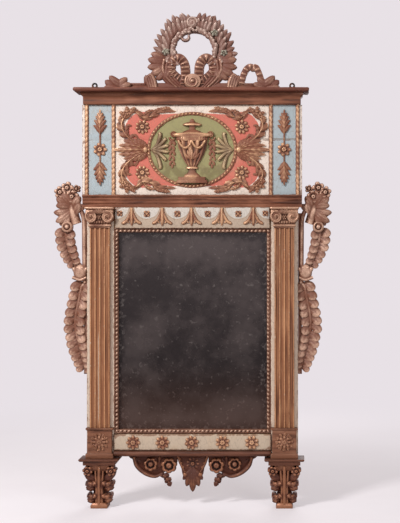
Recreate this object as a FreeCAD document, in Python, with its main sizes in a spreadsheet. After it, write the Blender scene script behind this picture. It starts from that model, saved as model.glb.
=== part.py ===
"""A neoclassical trumeau mirror: a tall pegged frame with an upper painted panel, a looking
glass between two fluted pilasters, carved ornament glued on, and two carved bracket feet.

Millimetres. X runs to the right, Z up, and the back stands against a wall on the +Y side.
The origin is under the middle of the whole mirror. A depth is measured from the wall forward.
"""
import FreeCAD, Part
import math
import operator
import os
from types import SimpleNamespace

import Sketcher

Vec = FreeCAD.Vector

DRIVING = {
    # the pegged frame of stiles and rails
    "body_width": 852, "stile_width": 110, "stile_thick": 45,
    "bottom_rail_height": 88, "top_rail_height": 100, "rail_lift": 6,
    "tenon_length": 80, "tenon_thick": 15, "tenon_shoulder": 20, "joint_gap": 0.2,
    "peg_side": 9, "peg_inset": 28, "rebate_width": 12, "rebate_depth": 14,
    # heights of the stages, from the floor up
    "foot_height": 172, "foot_block_height": 20, "shelf_fascia_height": 16, "shelf_height": 10,
    "plinth_height": 26, "pedestal_height": 86, "pedestal_cap_height": 10, "shaft_height": 802,
    "capital_height": 84, "architrave_height": 50, "panel_height": 362, "fascia_height": 48,
    "crown_height": 16, "crest_height": 306, "base_moulding_height": 22,
    # boards and mouldings planted on the frame
    "panel_side": 16, "panel_thick": 12, "lower_board_height": 220, "board_tongue": 5,
    "frieze_thick": 8, "base_moulding_thick": 23, "architrave_thick": 21, "moulding_step": 3,
    "fascia_lip": 4, "fascia_thick": 35, "crown_lip": 28, "crown_depth": 110,
    "crown_edge": 4, "cove": 9, "twist_width": 18, "twist_thick": 10, "twist_pitch": 32,
    # the glass and what holds it
    "glass_thick": 4, "glass_gap": 2, "glass_front": 26, "bead_width": 16, "bead_proud": 7,
    "bead_base": 18, "bead_pitch": 24, "backboard_thick": 10, "board_gap": 1,
    "block_width": 12, "block_length": 60,
    # the two orders that flank the glass
    "pilaster_width": 80, "pilaster_thick": 18, "flute_width": 14, "capital_width": 118,
    "capital_thick": 40, "volute_radius": 24, "astragal_height": 16, "abacus_height": 14,
    "pedestal_width": 98, "pedestal_thick": 25, "cap_overhang": 6, "shelf_width": 160,
    "shelf_depth": 95, "shelf_fascia_width": 128, "shelf_fascia_depth": 85,
    "foot_width": 138, "foot_back": 8, "foot_depth": 80, "foot_block_width": 68,
    "tongue_width": 60, "tongue_thick": 14, "foot_socket": 40, "tongue_rise": 20,
    # iron eyes for hanging
    "strap_width": 24, "strap_thick": 3, "strap_length": 176, "strap_rise": 34, "eye_radius": 5,
    "strap_inset": 24, "nail_side": 4, "nail_length": 22,
    # carved ornament
    "oval_half_width": 182, "oval_half_height": 153, "oval_rim": 14, "oval_thick": 12,
    "urn_height": 256, "urn_width": 120, "urn_thick": 22, "palm_length": 46,
    "scroll_width": 16, "carving_thick": 14, "field_rosette": 28,
    "drop_leaf": 100, "drop_rosette": 26, "floret_width": 26, "pendant_width": 80,
    "pendant_thick": 10, "frieze_rosette": 29, "pedestal_rosette": 40, "rosette_thick": 9,
    "apron_drop": 138, "apron_width": 128, "apron_thick": 26, "swag_gap": 21,
    "swag_drop": 84, "crest_width": 708, "crest_back": 38, "crest_thick": 24,
    "crest_strip_height": 28, "crest_relief": 14, "bow_width": 346, "bow_height": 104,
    "wreath_width": 346, "wreath_opening": 146, "ribbon_width": 20, "arch_height": 72,
    "end_leaf_width": 100, "end_leaf_height": 56, "cup_height": 70, "chain_reach": 46,
    "stem_width": 24, "garland_back": 12, "garland_edge": 14, "garland_ridge": 34,
    "flower_radius": 27, "bouquet_reach": 139, "bouquet_height": 124, "cup_width": 52,
    "garland_level": 610, "stem_height": 284, "husk_chain": 372, "carving_gap": 0.3,
}
FLUTES = 4
PENDANTS = 5
ROSETTES = 5
BACKBOARDS = 4
SIGNS = {"+": operator.add, "-": operator.sub, "*": operator.mul, "/": operator.truediv}

DOC = FreeCAD.newDocument("TrumeauMirror")


# ---------------------------------------------------------------- sizes and their formulas

def formula(value):
    """The text of a size, or of a plain number, inside an expression."""
    return value.text if isinstance(value, Size) else repr(float(value))


class Size:
    """A length together with the formula that ties it to the sheet."""

    def __init__(self, value, text):
        self.value = float(value)
        self.text = text

    def __float__(self):
        return self.value

    def join(self, sign, first, second):
        value = SIGNS[sign](float(first), float(second))
        return Size(value, f"({formula(first)} {sign} {formula(second)})")

    def __add__(self, other):
        return self.join("+", self, other)

    def __radd__(self, other):
        return self.join("+", other, self)

    def __sub__(self, other):
        return self.join("-", self, other)

    def __rsub__(self, other):
        return self.join("-", other, self)

    def __mul__(self, other):
        return self.join("*", self, other)

    def __rmul__(self, other):
        return self.join("*", other, self)

    def __truediv__(self, other):
        return self.join("/", self, other)

    def __neg__(self):
        return self.join("-", 0, self)


def driving_sheet():
    """The sheet of driving dimensions, and each cell as a size."""
    sheet = DOC.addObject("Spreadsheet::Sheet", "sizes")
    sheet.Label = "sizes"
    for row, (alias, value) in enumerate(DRIVING.items(), 1):
        sheet.set(f"A{row}", alias)
        sheet.set(f"B{row}", str(value))
        sheet.setAlias(f"B{row}", alias)
    DOC.recompute()
    cells = {alias: Size(sheet.get(alias), f"sizes.{alias}") for alias in DRIVING}
    return SimpleNamespace(**cells)


S = driving_sheet()


def heights():
    """The level of each stage above the floor, from the stage below it."""
    at = SimpleNamespace(floor=Size(0, "0"))
    at.shelf_fascia = at.floor + S.foot_height
    at.shelf = at.shelf_fascia + S.shelf_fascia_height
    at.body = at.shelf + S.shelf_height
    at.pedestal = at.body + S.plinth_height
    at.cap = at.pedestal + S.pedestal_height
    at.shaft = at.cap + S.pedestal_cap_height
    at.capital = at.shaft + S.shaft_height
    at.architrave = at.capital + S.capital_height
    at.panel = at.architrave + S.architrave_height
    at.fascia = at.panel + S.panel_height
    at.crown = at.fascia + S.fascia_height
    at.crest = at.crown + S.crown_height
    at.rail = at.body + S.rail_lift
    at.sill = at.rail + S.bottom_rail_height
    at.top_rail = at.crown - S.top_rail_height
    at.panel_middle = at.panel + S.panel_height / 2
    return at


AT = heights()
OPENING = S.body_width - 2 * S.stile_width
PANEL_WIDTH = S.body_width + 2 * S.panel_side
STILE_MIDDLE = OPENING / 2 + S.stile_width / 2
FACE = S.stile_thick
WALL = S.crown_depth / 2


def mm(value):
    """The plain number of a size."""
    return float(value)


def tie(item, prop, value):
    """Sets a property and, for a size, binds it to the sheet."""
    if isinstance(value, Size):
        item.setExpression(prop, value.text)


def place(item, x=0, depth=0, z=0):
    """Places an item by its middle, its depth from the wall and its level."""
    y = WALL - depth
    item.Placement.Base = Vec(float(x), float(y), float(z))
    for axis, value in (("x", x), ("y", y), ("z", z)):
        tie(item, f"Placement.Base.{axis}", value)


# ---------------------------------------------------------------- sketched pieces

def bulged(start, end, radius):
    """An arc from start to end; a positive radius turns to the left, a negative one right."""
    chord = end - start
    rise = math.sqrt(max(radius ** 2 - (chord.Length / 2) ** 2, 0))
    side = Vec(-chord.y, chord.x).normalize() * math.copysign(rise, radius)
    centre = (start + end) / 2 + side
    first, last = (start, end) if radius > 0 else (end, start)
    angles = [math.atan2(p.y - centre.y, p.x - centre.x) for p in (first, last)]
    circle = Part.Circle(centre, Vec(0, 0, 1), abs(radius))
    return Part.ArcOfCircle(circle, *angles)


class Piece:
    """A body built from sketches on its own origin planes."""

    def __init__(self, name, x=0, depth=0, z=0):
        self.body = DOC.addObject("PartDesign::Body", name)
        self.body.Label = name
        self.planes = {item.Role: item for item in self.body.Origin.OriginFeatures}
        place(self.body, x, depth, z)

    def sketch(self, plane, *loops, lift=None):
        """A sketch of closed outlines, or of (u, v, radius) circles given as a Round."""
        flat = self.body.newObject("Sketcher::SketchObject", f"{self.body.Name}_sketch")
        flat.AttachmentSupport = [(self.planes[plane], "")]
        flat.MapMode = "FlatFace"
        if lift is not None:
            flat.AttachmentOffset = FreeCAD.Placement(Vec(0, 0, float(lift)), FreeCAD.Rotation())
            tie(flat, "AttachmentOffset.Base.z", lift)
        for loop in loops:
            if isinstance(loop, Round):
                loop.draw(flat)
            else:
                draw_outline(flat, loop)
        return flat

    def feature(self, kind, sketch, length=None, **settings):
        """A pad or pocket of a sketch; no length means all the way through."""
        item = self.body.newObject(f"PartDesign::{kind}", f"{self.body.Name}_{kind.lower()}")
        item.Profile = sketch
        for setting, value in settings.items():
            setattr(item, setting, value)
        if length is None:
            item.Type = "ThroughAll"
        else:
            item.Length = float(length)
            tie(item, "Length", length)
        sketch.Visibility = False
        return self

    def pad(self, plane, loops, length, lift=None, both_ways=False):
        sketch = self.sketch(plane, *loops, lift=lift)
        return self.feature("Pad", sketch, length, Midplane=both_ways)

    def cut(self, plane, loops, length=None, lift=None, ahead=True):
        """A pocket, cut to the side that a pad would grow to unless ahead is False."""
        sketch = self.sketch(plane, *loops, lift=lift)
        return self.feature("Pocket", sketch, length, Reversed=ahead)

    def stage(self, low, low_half, low_front, high, high_half, high_front):
        """One stage of a moulded block: a square-cornered taper that returns at both sides."""
        ends = [self.sketch("XY_Plane", front_block(low_half, low_front), lift=low),
                self.sketch("XY_Plane", front_block(high_half, high_front), lift=high)]
        item = self.body.newObject("PartDesign::AdditiveLoft", f"{self.body.Name}_stage")
        item.Profile = ends[0]
        item.Sections = [ends[1]]
        item.Ruled = True
        return self


class Round:
    """A circle in a sketch."""

    def __init__(self, u, v, radius):
        self.u, self.v, self.radius = u, v, radius

    def draw(self, flat):
        centre = Vec(float(self.u), float(self.v), 0)
        circle = Part.Circle(centre, Vec(0, 0, 1), float(self.radius))
        geo = flat.addGeometry(circle, False)
        pin(flat, geo, 3, self.u, self.v)
        bind(flat, Sketcher.Constraint("Radius", geo, float(self.radius)), self.radius)


def bind(flat, constraint, value):
    """Adds a constraint and binds its value to the sheet."""
    index = flat.addConstraint(constraint)
    tie(flat, f"Constraints[{index}]", value)


def pin(flat, geo, point, u, v):
    """Holds one point of a sketch by its two distances from the sketch's origin."""
    bind(flat, Sketcher.Constraint("DistanceX", -1, 1, geo, point, float(u)), u)
    bind(flat, Sketcher.Constraint("DistanceY", -1, 1, geo, point, float(v)), v)


def draw_outline(flat, corners):
    """Draws a closed outline; a third number of a corner makes the next edge an arc."""
    spots = [Vec(float(corner[0]), float(corner[1]), 0) for corner in corners]
    edges = []
    for here, corner in enumerate(corners):
        start, end = spots[here], spots[(here + 1) % len(spots)]
        if len(corner) == 3:
            radius = float(corner[2])
            geo = flat.addGeometry(bulged(start, end, radius), False)
            bind(flat, Sketcher.Constraint("Radius", geo, abs(radius)),
                 corner[2] if radius > 0 else -corner[2])
            edges.append((geo, 1, 2) if radius > 0 else (geo, 2, 1))
        else:
            edges.append((flat.addGeometry(Part.LineSegment(start, end), False), 1, 2))
    for here, (geo, first, _) in enumerate(edges):
        before, _, last = edges[here - 1]
        flat.addConstraint(Sketcher.Constraint("Coincident", before, last, geo, first))
        pin(flat, geo, first, corners[here][0], corners[here][1])


def rectangle(left, low, right, high):
    return [(left, low), (right, low), (right, high), (left, high)]


def square(u, v, side):
    return rectangle(u - side / 2, v - side / 2, u + side / 2, v + side / 2)


def front_block(half, front):
    """A rectangle that stands with its back on the wall line."""
    return rectangle(-half, -front, half, Size(0, "0"))


def box(name, length, width, height, x, depth, z):
    """A plain board: x and z give its lower left corner, depth the side towards the wall."""
    item = DOC.addObject("Part::Box", name)
    for prop, value in (("Length", length), ("Width", width), ("Height", height)):
        setattr(item, prop, float(value))
        tie(item, prop, value)
    place(item, x, depth + width, z)
    return item


def square_rod(name, side, length, x, z):
    """A square rod that runs forward from the wall line."""
    return box(name, side, length, side, x - side / 2, Size(0, "0"), z - side / 2)


def group(name, items):
    """Several like solids that share one node."""
    whole = DOC.addObject("Part::Compound", name)
    whole.Label = name
    whole.Links = items
    return whole


def mirrored(name, source):
    """The right-hand twin of a left-hand piece."""
    twin = DOC.addObject("Part::Mirroring", name)
    twin.Label = name
    twin.Source = source
    twin.Normal = Vec(1, 0, 0)
    return twin


# ---------------------------------------------------------------- carved pieces

def spot(flat_point, rise):
    """A point of a carving: u to the right, v up, and its rise off the ground it sits on."""
    return Vec(flat_point[0], -rise, flat_point[1])


def closed_solid(faces):
    """A solid from flat facets given by their corners."""
    shell = Part.makeShell([Part.Face(Part.makePolygon(f + f[:1])) for f in faces])
    shell.sewShape()
    solid = Part.makeSolid(shell)
    if solid.Volume < 0:
        solid.reverse()
    return solid


def ridge_band(left, right, crest, edge, ridge):
    """A carved strip between two edges: flat back, upright sides and a ridge along crest."""
    last = len(crest) - 1
    faces = []
    for here in range(last):
        there = here + 1
        faces.append([spot(left[here], 0), spot(right[here], 0),
                      spot(right[there], 0), spot(left[there], 0)])
        for side in (left, right):
            faces.append([spot(side[here], 0), spot(side[there], 0),
                          spot(side[there], edge), spot(side[here], edge)])
            faces.append([spot(side[here], edge), spot(side[there], edge),
                          spot(crest[there], ridge)])
            faces.append([spot(side[here], edge), spot(crest[there], ridge),
                          spot(crest[here], ridge)])
    for end in (0, last):
        faces.append([spot(left[end], 0), spot(right[end], 0), spot(right[end], edge),
                      spot(crest[end], ridge), spot(left[end], edge)])
    return closed_solid(faces)


def ridge_strip(path, halves, edge, ridge):
    """A ridged strip along a path, with its half width at each point of the path.

    A half width may be a (left, right) pair.
    """
    left, right = [], []
    for here, (u, v) in enumerate(path):
        before, after = path[max(here - 1, 0)], path[min(here + 1, len(path) - 1)]
        run = math.hypot(after[0] - before[0], after[1] - before[1])
        across = (-(after[1] - before[1]) / run, (after[0] - before[0]) / run)
        half = halves[here]
        pair = half if isinstance(half, tuple) else (half, half)
        left.append((u + across[0] * pair[0], v + across[1] * pair[0]))
        right.append((u - across[0] * pair[1], v - across[1] * pair[1]))
    return ridge_band(left, right, path, edge, ridge)


def pointed(outline, edge, peak, top=(0.0, 0.0)):
    """A low carved boss over an outline: upright edges, then facets that rise to one point."""
    count = len(outline)
    faces = [[spot(p, 0) for p in outline]]
    for here in range(count):
        start, end = outline[here], outline[(here + 1) % count]
        faces.append([spot(start, 0), spot(end, 0), spot(end, edge), spot(start, edge)])
        faces.append([spot(start, edge), spot(end, edge), spot(top, peak)])
    return closed_solid(faces)


def plate(outline, thick):
    """A flat cut-out board."""
    corners = [spot(p, 0) for p in outline]
    return Part.Face(Part.makePolygon(corners + corners[:1])).extrude(Vec(0, -thick, 0))


def turned(points, angle, u=0.0, v=0.0):
    """Points turned about the origin, counter-clockwise in degrees, and then moved."""
    cos, sin = math.cos(math.radians(angle)), math.sin(math.radians(angle))
    return [(p[0] * cos - p[1] * sin + u, p[0] * sin + p[1] * cos + v) for p in points]


def arc_points(centre, radii, start, end, count):
    """Points along an elliptical arc, from one angle in degrees to the other."""
    points = []
    for step in range(count + 1):
        angle = math.radians(start + (end - start) * step / count)
        points.append((centre[0] + radii[0] * math.cos(angle),
                       centre[1] + radii[1] * math.sin(angle)))
    return points


def petals(radius, count, valley=0.68):
    """The outline of an open flower: a tip and a valley for each petal."""
    points = []
    for petal in range(count):
        for share, reach in ((0.0, valley), (0.5, 1.0)):
            angle = 2 * math.pi * (petal + share) / count
            points.append((radius * reach * math.cos(angle), radius * reach * math.sin(angle)))
    return points


def flower(radius, count, thick, u=0.0, v=0.0):
    """A rosette whose petals slope up to its button."""
    return pointed(turned(petals(radius, count), 0, u, v), thick * 0.45, thick, (u, v))


def leaf(length, half, lobes, edge, ridge, angle=90, u=0.0, v=0.0):
    """A leaf that springs from (u, v) and points along an angle, with a notch between lobes."""
    path, halves = [(0.0, 0.0)], [half * 0.35]
    for lobe in range(lobes):
        for share, reach in ((0.5, 1.0), (1.0, 0.6)):
            along = (lobe + share) / (lobes + 0.3)
            if lobe == lobes - 1 and share == 1.0:
                continue
            path.append((length * along, 0.0))
            halves.append(half * reach * math.sin(math.pi * (0.2 + 0.7 * along)) ** 0.6)
    path.append((length, 0.0))
    halves.append(half * 0.06)
    return ridge_strip(turned(path, angle, u, v), halves, edge, ridge)


def husks(path, reach, edge, ridge):
    """A garland of paired husks: every other point of the path is a pair of leaf tips."""
    halves = []
    for here, width in enumerate(reach):
        halves.append(width if here % 2 else width * 0.62)
    return ridge_strip(path, halves, edge, ridge)


def joined(parts):
    """One solid from carved parts that run into each other."""
    whole = parts[0].multiFuse(parts[1:]) if len(parts) > 1 else parts[0]
    whole = whole.removeSplitter()
    if len(whole.Solids) != 1:
        raise ValueError(f"a carving fell into {len(whole.Solids)} solids")
    return whole


def carving(name, shape, x, depth, z):
    """A carved piece, put in its place on the mirror."""
    item = DOC.addObject("Part::Feature", name)
    item.Label = name
    item.Shape = shape
    place(item, x, depth, z)
    return item


# ---------------------------------------------------------------- the pegged frame

def rail_rows():
    """Each rail's name, its level, its height and where its back is rebated."""
    return (("bottom_rail", AT.rail, S.bottom_rail_height, "top"),
            ("middle_rail", AT.capital, AT.panel - AT.capital, "low"),
            ("top_rail", AT.top_rail, S.top_rail_height, None))


def peg_height(level, height):
    """One peg holds each tenon, at its middle."""
    return level + height / 2


def stile(name):
    """The left stile, from the edge of the opening outward."""
    piece = Piece(name, -OPENING / 2, 0, AT.body)
    piece.pad("XY_Plane", [rectangle(-S.stile_width, -S.stile_thick, Size(0, "0"), Size(0, "0"))],
              AT.crown - AT.body)
    piece.cut("XZ_Plane", [rectangle(-S.rebate_width, AT.sill - S.rebate_width - AT.body,
                                     Size(0, "0"), AT.capital + S.rebate_width - AT.body)],
              S.rebate_depth)
    near = (S.stile_thick - S.tenon_thick) / 2 - S.joint_gap
    mortises, pegs = [], []
    for _, level, height, _ in rail_rows():
        low = level - AT.body + S.tenon_shoulder - S.joint_gap
        high = level - AT.body + height - S.tenon_shoulder + S.joint_gap
        mortises.append(rectangle(near - S.stile_thick, low, -near, high))
        pegs.append(square(-S.peg_inset, peg_height(level - AT.body, height), S.peg_side))
    piece.cut("YZ_Plane", mortises, S.tenon_length + S.joint_gap, ahead=False)
    piece.cut("XZ_Plane", pegs)
    strap = -S.stile_width + S.strap_inset
    piece.cut("XZ_Plane", [rectangle(strap - S.strap_width / 2,
                                     AT.crest + S.strap_rise - S.strap_length - AT.body,
                                     strap + S.strap_width / 2, AT.crown - AT.body)],
              S.strap_thick)
    nails = [square(strap, level - AT.body, S.nail_side) for level in nail_levels()]
    piece.cut("XZ_Plane", nails, S.strap_thick + S.nail_length)
    piece.cut("XY_Plane", [tongue_outline(-S.stile_width / 2)], S.tongue_rise)
    return piece.body


def rail(name, level, height, rebated):
    """A rail with a pegged tenon at each end and the rebate for the boards behind the glass."""
    piece = Piece(name, 0, 0, level)
    zero, back, front = Size(0, "0"), -S.rebate_depth, -S.stile_thick
    if rebated == "top":
        step = height - S.rebate_width
        profile = [(front, zero), (zero, zero), (zero, step), (back, step), (back, height),
                   (front, height)]
    elif rebated == "low":
        profile = [(front, zero), (back, zero), (back, S.rebate_width), (zero, S.rebate_width),
                   (zero, height), (front, height)]
    else:
        profile = rectangle(front, zero, zero, height)
    piece.pad("YZ_Plane", [profile], OPENING, both_ways=True)
    near = (S.stile_thick - S.tenon_thick) / 2
    piece.pad("YZ_Plane", [rectangle(near - S.stile_thick, S.tenon_shoulder, -near,
                                     height - S.tenon_shoulder)],
              OPENING + 2 * S.tenon_length, both_ways=True)
    peg = peg_height(zero, height)
    pegs = [square(side * (OPENING / 2 + S.peg_inset), peg, S.peg_side) for side in (-1, 1)]
    piece.cut("XZ_Plane", pegs)


def tenon_pegs():
    """Square-cut pegs, driven through each stile and the tenon in it."""
    pegs = []
    for _, level, height, _ in rail_rows():
        for side in (-1, 1):
            pegs.append(square_rod("peg", S.peg_side, S.stile_thick,
                                   side * (OPENING / 2 + S.peg_inset),
                                   peg_height(level, height)))
    group("tenon_pegs", pegs)


def nail_levels():
    """Two nails hold each strap to its stile, below the crown."""
    low = AT.crest + S.strap_rise - S.strap_length
    return (low + S.strap_width, AT.crown - S.strap_width)


def hanging_straps():
    """Wrought straps let into the backs of the stiles, with an eye above the crown."""
    straps = []
    middle = S.body_width / 2 - S.strap_inset
    low = AT.crest + S.strap_rise - S.strap_length
    for side, hand in ((-1, "left"), (1, "right")):
        piece = Piece(f"strap_{hand}", side * middle, 0, low)
        half, top = S.strap_width / 2, S.strap_length - S.strap_width / 2
        zero = Size(0, "0")
        outline = [(-half, zero), (half, zero), (half, top, half), (zero, S.strap_length, half),
                   (-half, top)]
        holes = [Round(zero, top, S.eye_radius)]
        holes += [square(zero, level - low, S.nail_side) for level in nail_levels()]
        piece.pad("XZ_Plane", [outline] + holes, S.strap_thick)
        straps.append(piece.body)
    group("hanging_straps", straps)


def strap_nails():
    """Headless cut nails, driven flush through each strap into its stile."""
    nails = []
    for side in (-1, 1):
        for level in nail_levels():
            nails.append(square_rod("nail", S.nail_side, S.strap_thick + S.nail_length,
                                    side * (S.body_width / 2 - S.strap_inset), level))
    group("strap_nails", nails)


def tongue_outline(middle):
    """The loose tongue seen from above, in a frame whose wall line is its X axis."""
    half, thick = S.tongue_width / 2, S.tongue_thick / 2
    back = -S.stile_thick / 2
    return rectangle(middle - half, back - thick, middle + half, back + thick)


def foot_tongues():
    """A loose tongue through each shelf holds its foot to its stile."""
    tongues = []
    tall = AT.body - AT.shelf_fascia + S.foot_socket + S.tongue_rise
    for side in (-1, 1):
        tongues.append(box("tongue", S.tongue_width, S.tongue_thick, tall,
                           side * STILE_MIDDLE - S.tongue_width / 2,
                           (S.stile_thick - S.tongue_thick) / 2,
                           AT.shelf_fascia - S.foot_socket))
    group("foot_tongues", tongues)


# ---------------------------------------------------------------- the glass

def mirror_glass():
    wide = OPENING - 2 * S.glass_gap
    tall = AT.capital - AT.sill - 2 * S.glass_gap
    glass = box("mirror_glass", wide, S.glass_thick, tall, -wide / 2,
                S.glass_front - S.glass_thick, AT.sill + S.glass_gap)
    glass.Label = "mirror_glass"


def glass_backboards():
    """Boards laid across in the rebate behind the glass."""
    wide = OPENING + 2 * S.rebate_width - 2 * S.glass_gap
    low = AT.sill - S.rebate_width + S.glass_gap
    tall = AT.capital - AT.sill + 2 * S.rebate_width - 2 * S.glass_gap
    each = (tall - (BACKBOARDS - 1) * S.board_gap) / BACKBOARDS
    boards = []
    for row in range(BACKBOARDS):
        boards.append(box(f"backboard_{row}", wide, S.backboard_thick, each, -wide / 2,
                          S.rebate_depth - S.backboard_thick,
                          low + row * (each + S.board_gap)))
    group("glass_backboards", boards)


def glass_blocks():
    """Blocks glued round the opening press the glass forward against the beading."""
    thick = S.glass_front - S.glass_thick - S.rebate_depth
    tall = AT.capital - AT.sill
    blocks = []
    for share in (0.25, 0.5, 0.75):
        z = AT.sill + tall * share - S.block_length / 2
        blocks.append(box("block", S.block_width, thick, S.block_length, -OPENING / 2,
                          S.rebate_depth, z))
        blocks.append(box("block", S.block_width, thick, S.block_length,
                          OPENING / 2 - S.block_width, S.rebate_depth, z))
    for share in (-0.25, 0.25):
        x = OPENING * share - S.block_length / 2
        blocks.append(box("block", S.block_length, thick, S.block_width, x,
                          S.rebate_depth, AT.sill))
        blocks.append(box("block", S.block_length, thick, S.block_width, x,
                          S.rebate_depth, AT.capital - S.block_width))
    group("glass_blocks", blocks)


def bead_strip(length):
    """One mitred length of the beading, with a row of beads along its front."""
    width, base = mm(S.bead_width), mm(S.bead_base)
    top = mm(S.stile_thick + S.bead_proud - S.glass_front)
    count = round(length / mm(S.bead_pitch))
    pitch = length / count
    outline = [(0.0, 0.0)]
    for bead in range(count):
        start = bead * pitch
        outline += [(start + pitch * 0.08, base), (start + pitch * 0.5, top)]
    outline += [(length - pitch * 0.08, base), (length, 0.0)]
    corners = [Vec(along, -rise, 0) for along, rise in outline]
    bar = Part.Face(Part.makePolygon(corners + corners[:1])).extrude(Vec(0, 0, width))
    mitre = [(0.0, 0.0), (length, 0.0), (length - width, width), (width, width)]
    wedge = [Vec(u, 1, v) for u, v in mitre]
    clear = Part.Face(Part.makePolygon(wedge + wedge[:1])).extrude(Vec(0, -top - 2, 0))
    return bar.common(clear)


def sight_beading():
    """Four mitred lengths of beading line the opening and hold the glass from the front."""
    wide, tall = mm(OPENING), mm(AT.capital - AT.sill)
    strips = []
    for length, turn, x, z in ((wide, 0, -wide / 2, 0), (wide, 180, wide / 2, tall),
                               (tall, 90, wide / 2, 0), (tall, 270, -wide / 2, tall)):
        strip = bead_strip(length)
        spin = FreeCAD.Rotation(Vec(0, -1, 0), turn)
        strip.Placement = FreeCAD.Placement(Vec(x, 0, z), spin)
        strips.append(strip)
    carving("sight_beading", Part.makeCompound(strips), 0, S.glass_front, AT.sill)


# ---------------------------------------------------------------- boards and mouldings

def panel_boards():
    """Two boards across the top of the frame, tongued together at the seam."""
    zero, low = Size(0, "0"), S.lower_board_height
    third = S.panel_thick / 3
    near, far, gap = -third, -2 * third, S.joint_gap
    tongue = [(-S.panel_thick, zero), (zero, zero), (zero, low), (near - gap, low),
              (near - gap, low + S.board_tongue), (far + gap, low + S.board_tongue), (far + gap, low),
              (-S.panel_thick, low)]
    lower = Piece("panel_board_lower", 0, FACE, AT.panel)
    lower.pad("YZ_Plane", [tongue], PANEL_WIDTH, both_ways=True)
    groove = [(-S.panel_thick, low), (far, low), (far, low + S.board_tongue + gap),
              (near, low + S.board_tongue + gap), (near, low), (zero, low),
              (zero, S.panel_height), (-S.panel_thick, S.panel_height)]
    upper = Piece("panel_board_upper", 0, FACE, AT.panel)
    upper.pad("YZ_Plane", [groove], PANEL_WIDTH, both_ways=True)


def frieze_boards():
    """Thin painted boards between the capitals and between the pedestals."""
    zero, thick = Size(0, "0"), S.frieze_thick
    upper = Piece("frieze_board", 0, FACE, AT.capital)
    wide = 2 * STILE_MIDDLE - S.capital_width - 2 * S.board_gap
    upper.pad("YZ_Plane", [rectangle(-thick, zero, zero, S.capital_height)], wide,
              both_ways=True)
    lower = Piece("lower_frieze_board", 0, FACE, AT.rail + S.base_moulding_height)
    tall = S.bottom_rail_height - S.base_moulding_height
    edge = thick / 2
    profile = [(zero, zero), (zero, tall), (-edge, tall), (-thick, tall - edge),
               (-thick, edge), (-edge, zero)]
    lower.pad("YZ_Plane", [profile], OPENING, both_ways=True)


def base_moulding():
    """A half-round nosing along the foot of the bottom rail, between the plinths."""
    zero, tall, thick = Size(0, "0"), S.base_moulding_height, S.base_moulding_thick
    curve = tall / 2
    profile = [(zero, zero), (zero, tall), (curve - thick, tall, curve), (-thick, curve, curve),
               (curve - thick, zero)]
    wide = OPENING - 2 * S.board_gap
    piece = Piece("base_moulding", 0, FACE, AT.rail)
    piece.pad("YZ_Plane", [profile], wide, both_ways=True)


def architrave():
    """Three flat bands that step forward under a quarter-round."""
    zero, tall, thick, step = Size(0, "0"), S.architrave_height, S.architrave_thick, S.moulding_step
    round_edge = 2 * step
    first, second, third = tall * 3 / 10, tall * 6 / 10, tall * 8 / 10
    profile = [(zero, zero), (zero, tall), (-thick, tall), (-thick, third + round_edge, round_edge),
               (round_edge - thick, third), (round_edge - thick, second),
               (round_edge + step - thick, second), (round_edge + step - thick, first),
               (round_edge + 2 * step - thick, first), (round_edge + 2 * step - thick, zero)]
    piece = Piece("architrave", 0, FACE, AT.architrave)
    piece.pad("YZ_Plane", [profile], PANEL_WIDTH, both_ways=True)


def cornice():
    """A coved fascia that returns round the frame, and the crown board laid on it."""
    half, front = PANEL_WIDTH / 2 + S.fascia_lip, FACE + S.fascia_thick
    tall, cove = S.fascia_height, S.cove
    fascia = Piece("cornice_fascia", 0, 0, AT.fascia)
    inner = (half - cove, front - cove)
    fascia.stage(Size(0, "0"), *inner, tall - 2 * cove, *inner)
    fascia.stage(tall - 2 * cove, *inner, tall - cove, half, front)
    fascia.stage(tall - cove, half, front, tall, half, front)
    frame = S.body_width / 2
    fascia.cut("XY_Plane", [front_block(frame, FACE)])

    crown = Piece("cornice_crown", 0, 0, AT.crown)
    half, front, edge = PANEL_WIDTH / 2 + S.crown_lip, S.crown_depth, S.crown_edge
    crown.stage(Size(0, "0"), half - edge, front - edge, edge, half, front)
    crown.stage(edge, half, front, S.crown_height - edge, half, front)
    crown.stage(S.crown_height - edge, half, front, S.crown_height, half - edge, front - edge)
    slots = []
    for side in (-1, 1):
        middle = side * (S.body_width / 2 - S.strap_inset)
        slots.append(rectangle(middle - S.strap_width / 2, -S.strap_thick,
                               middle + S.strap_width / 2, Size(0, "0")))
    crown.cut("XY_Plane", slots)


def twist_mouldings():
    """Four upright strips of twisted leaf on the upper panel."""
    tall, half = mm(S.panel_height), mm(S.twist_width) / 2
    turns = round(tall / mm(S.twist_pitch))
    path, halves = [], []
    for step in range(2 * turns + 1):
        path.append((0.0, tall * step / (2 * turns)))
        halves.append((half, half * 0.7) if step % 2 else (half * 0.7, half))
    strip = ridge_strip(path, halves, mm(S.twist_thick) * 0.5, mm(S.twist_thick))
    outer = PANEL_WIDTH / 2 - S.twist_width
    for name, x in (("twist_outer_left", -outer), ("twist_inner_left", -OPENING / 2),
                    ("twist_inner_right", OPENING / 2), ("twist_outer_right", outer)):
        carving(name, strip, x, FACE + S.panel_thick, AT.panel)


# ---------------------------------------------------------------- pilasters and pedestals

def pilaster(name):
    """The left pilaster: flutes between flat fillets, run from pedestal to capital."""
    zero, thick, half = Size(0, "0"), S.pilaster_thick, S.pilaster_width / 2
    fillet = (S.pilaster_width - FLUTES * S.flute_width) / (FLUTES + 1)
    hollow = S.flute_width * 0.55
    profile = [(half, zero), (-half, zero), (-half, -thick)]
    for flute in range(FLUTES):
        start = -half + fillet + flute * (fillet + S.flute_width)
        profile += [(start, -thick, -hollow), (start + S.flute_width, -thick)]
    profile.append((half, -thick))
    piece = Piece(name, -STILE_MIDDLE, FACE, AT.shaft)
    piece.pad("XY_Plane", [profile], S.shaft_height)
    return piece.body


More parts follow.
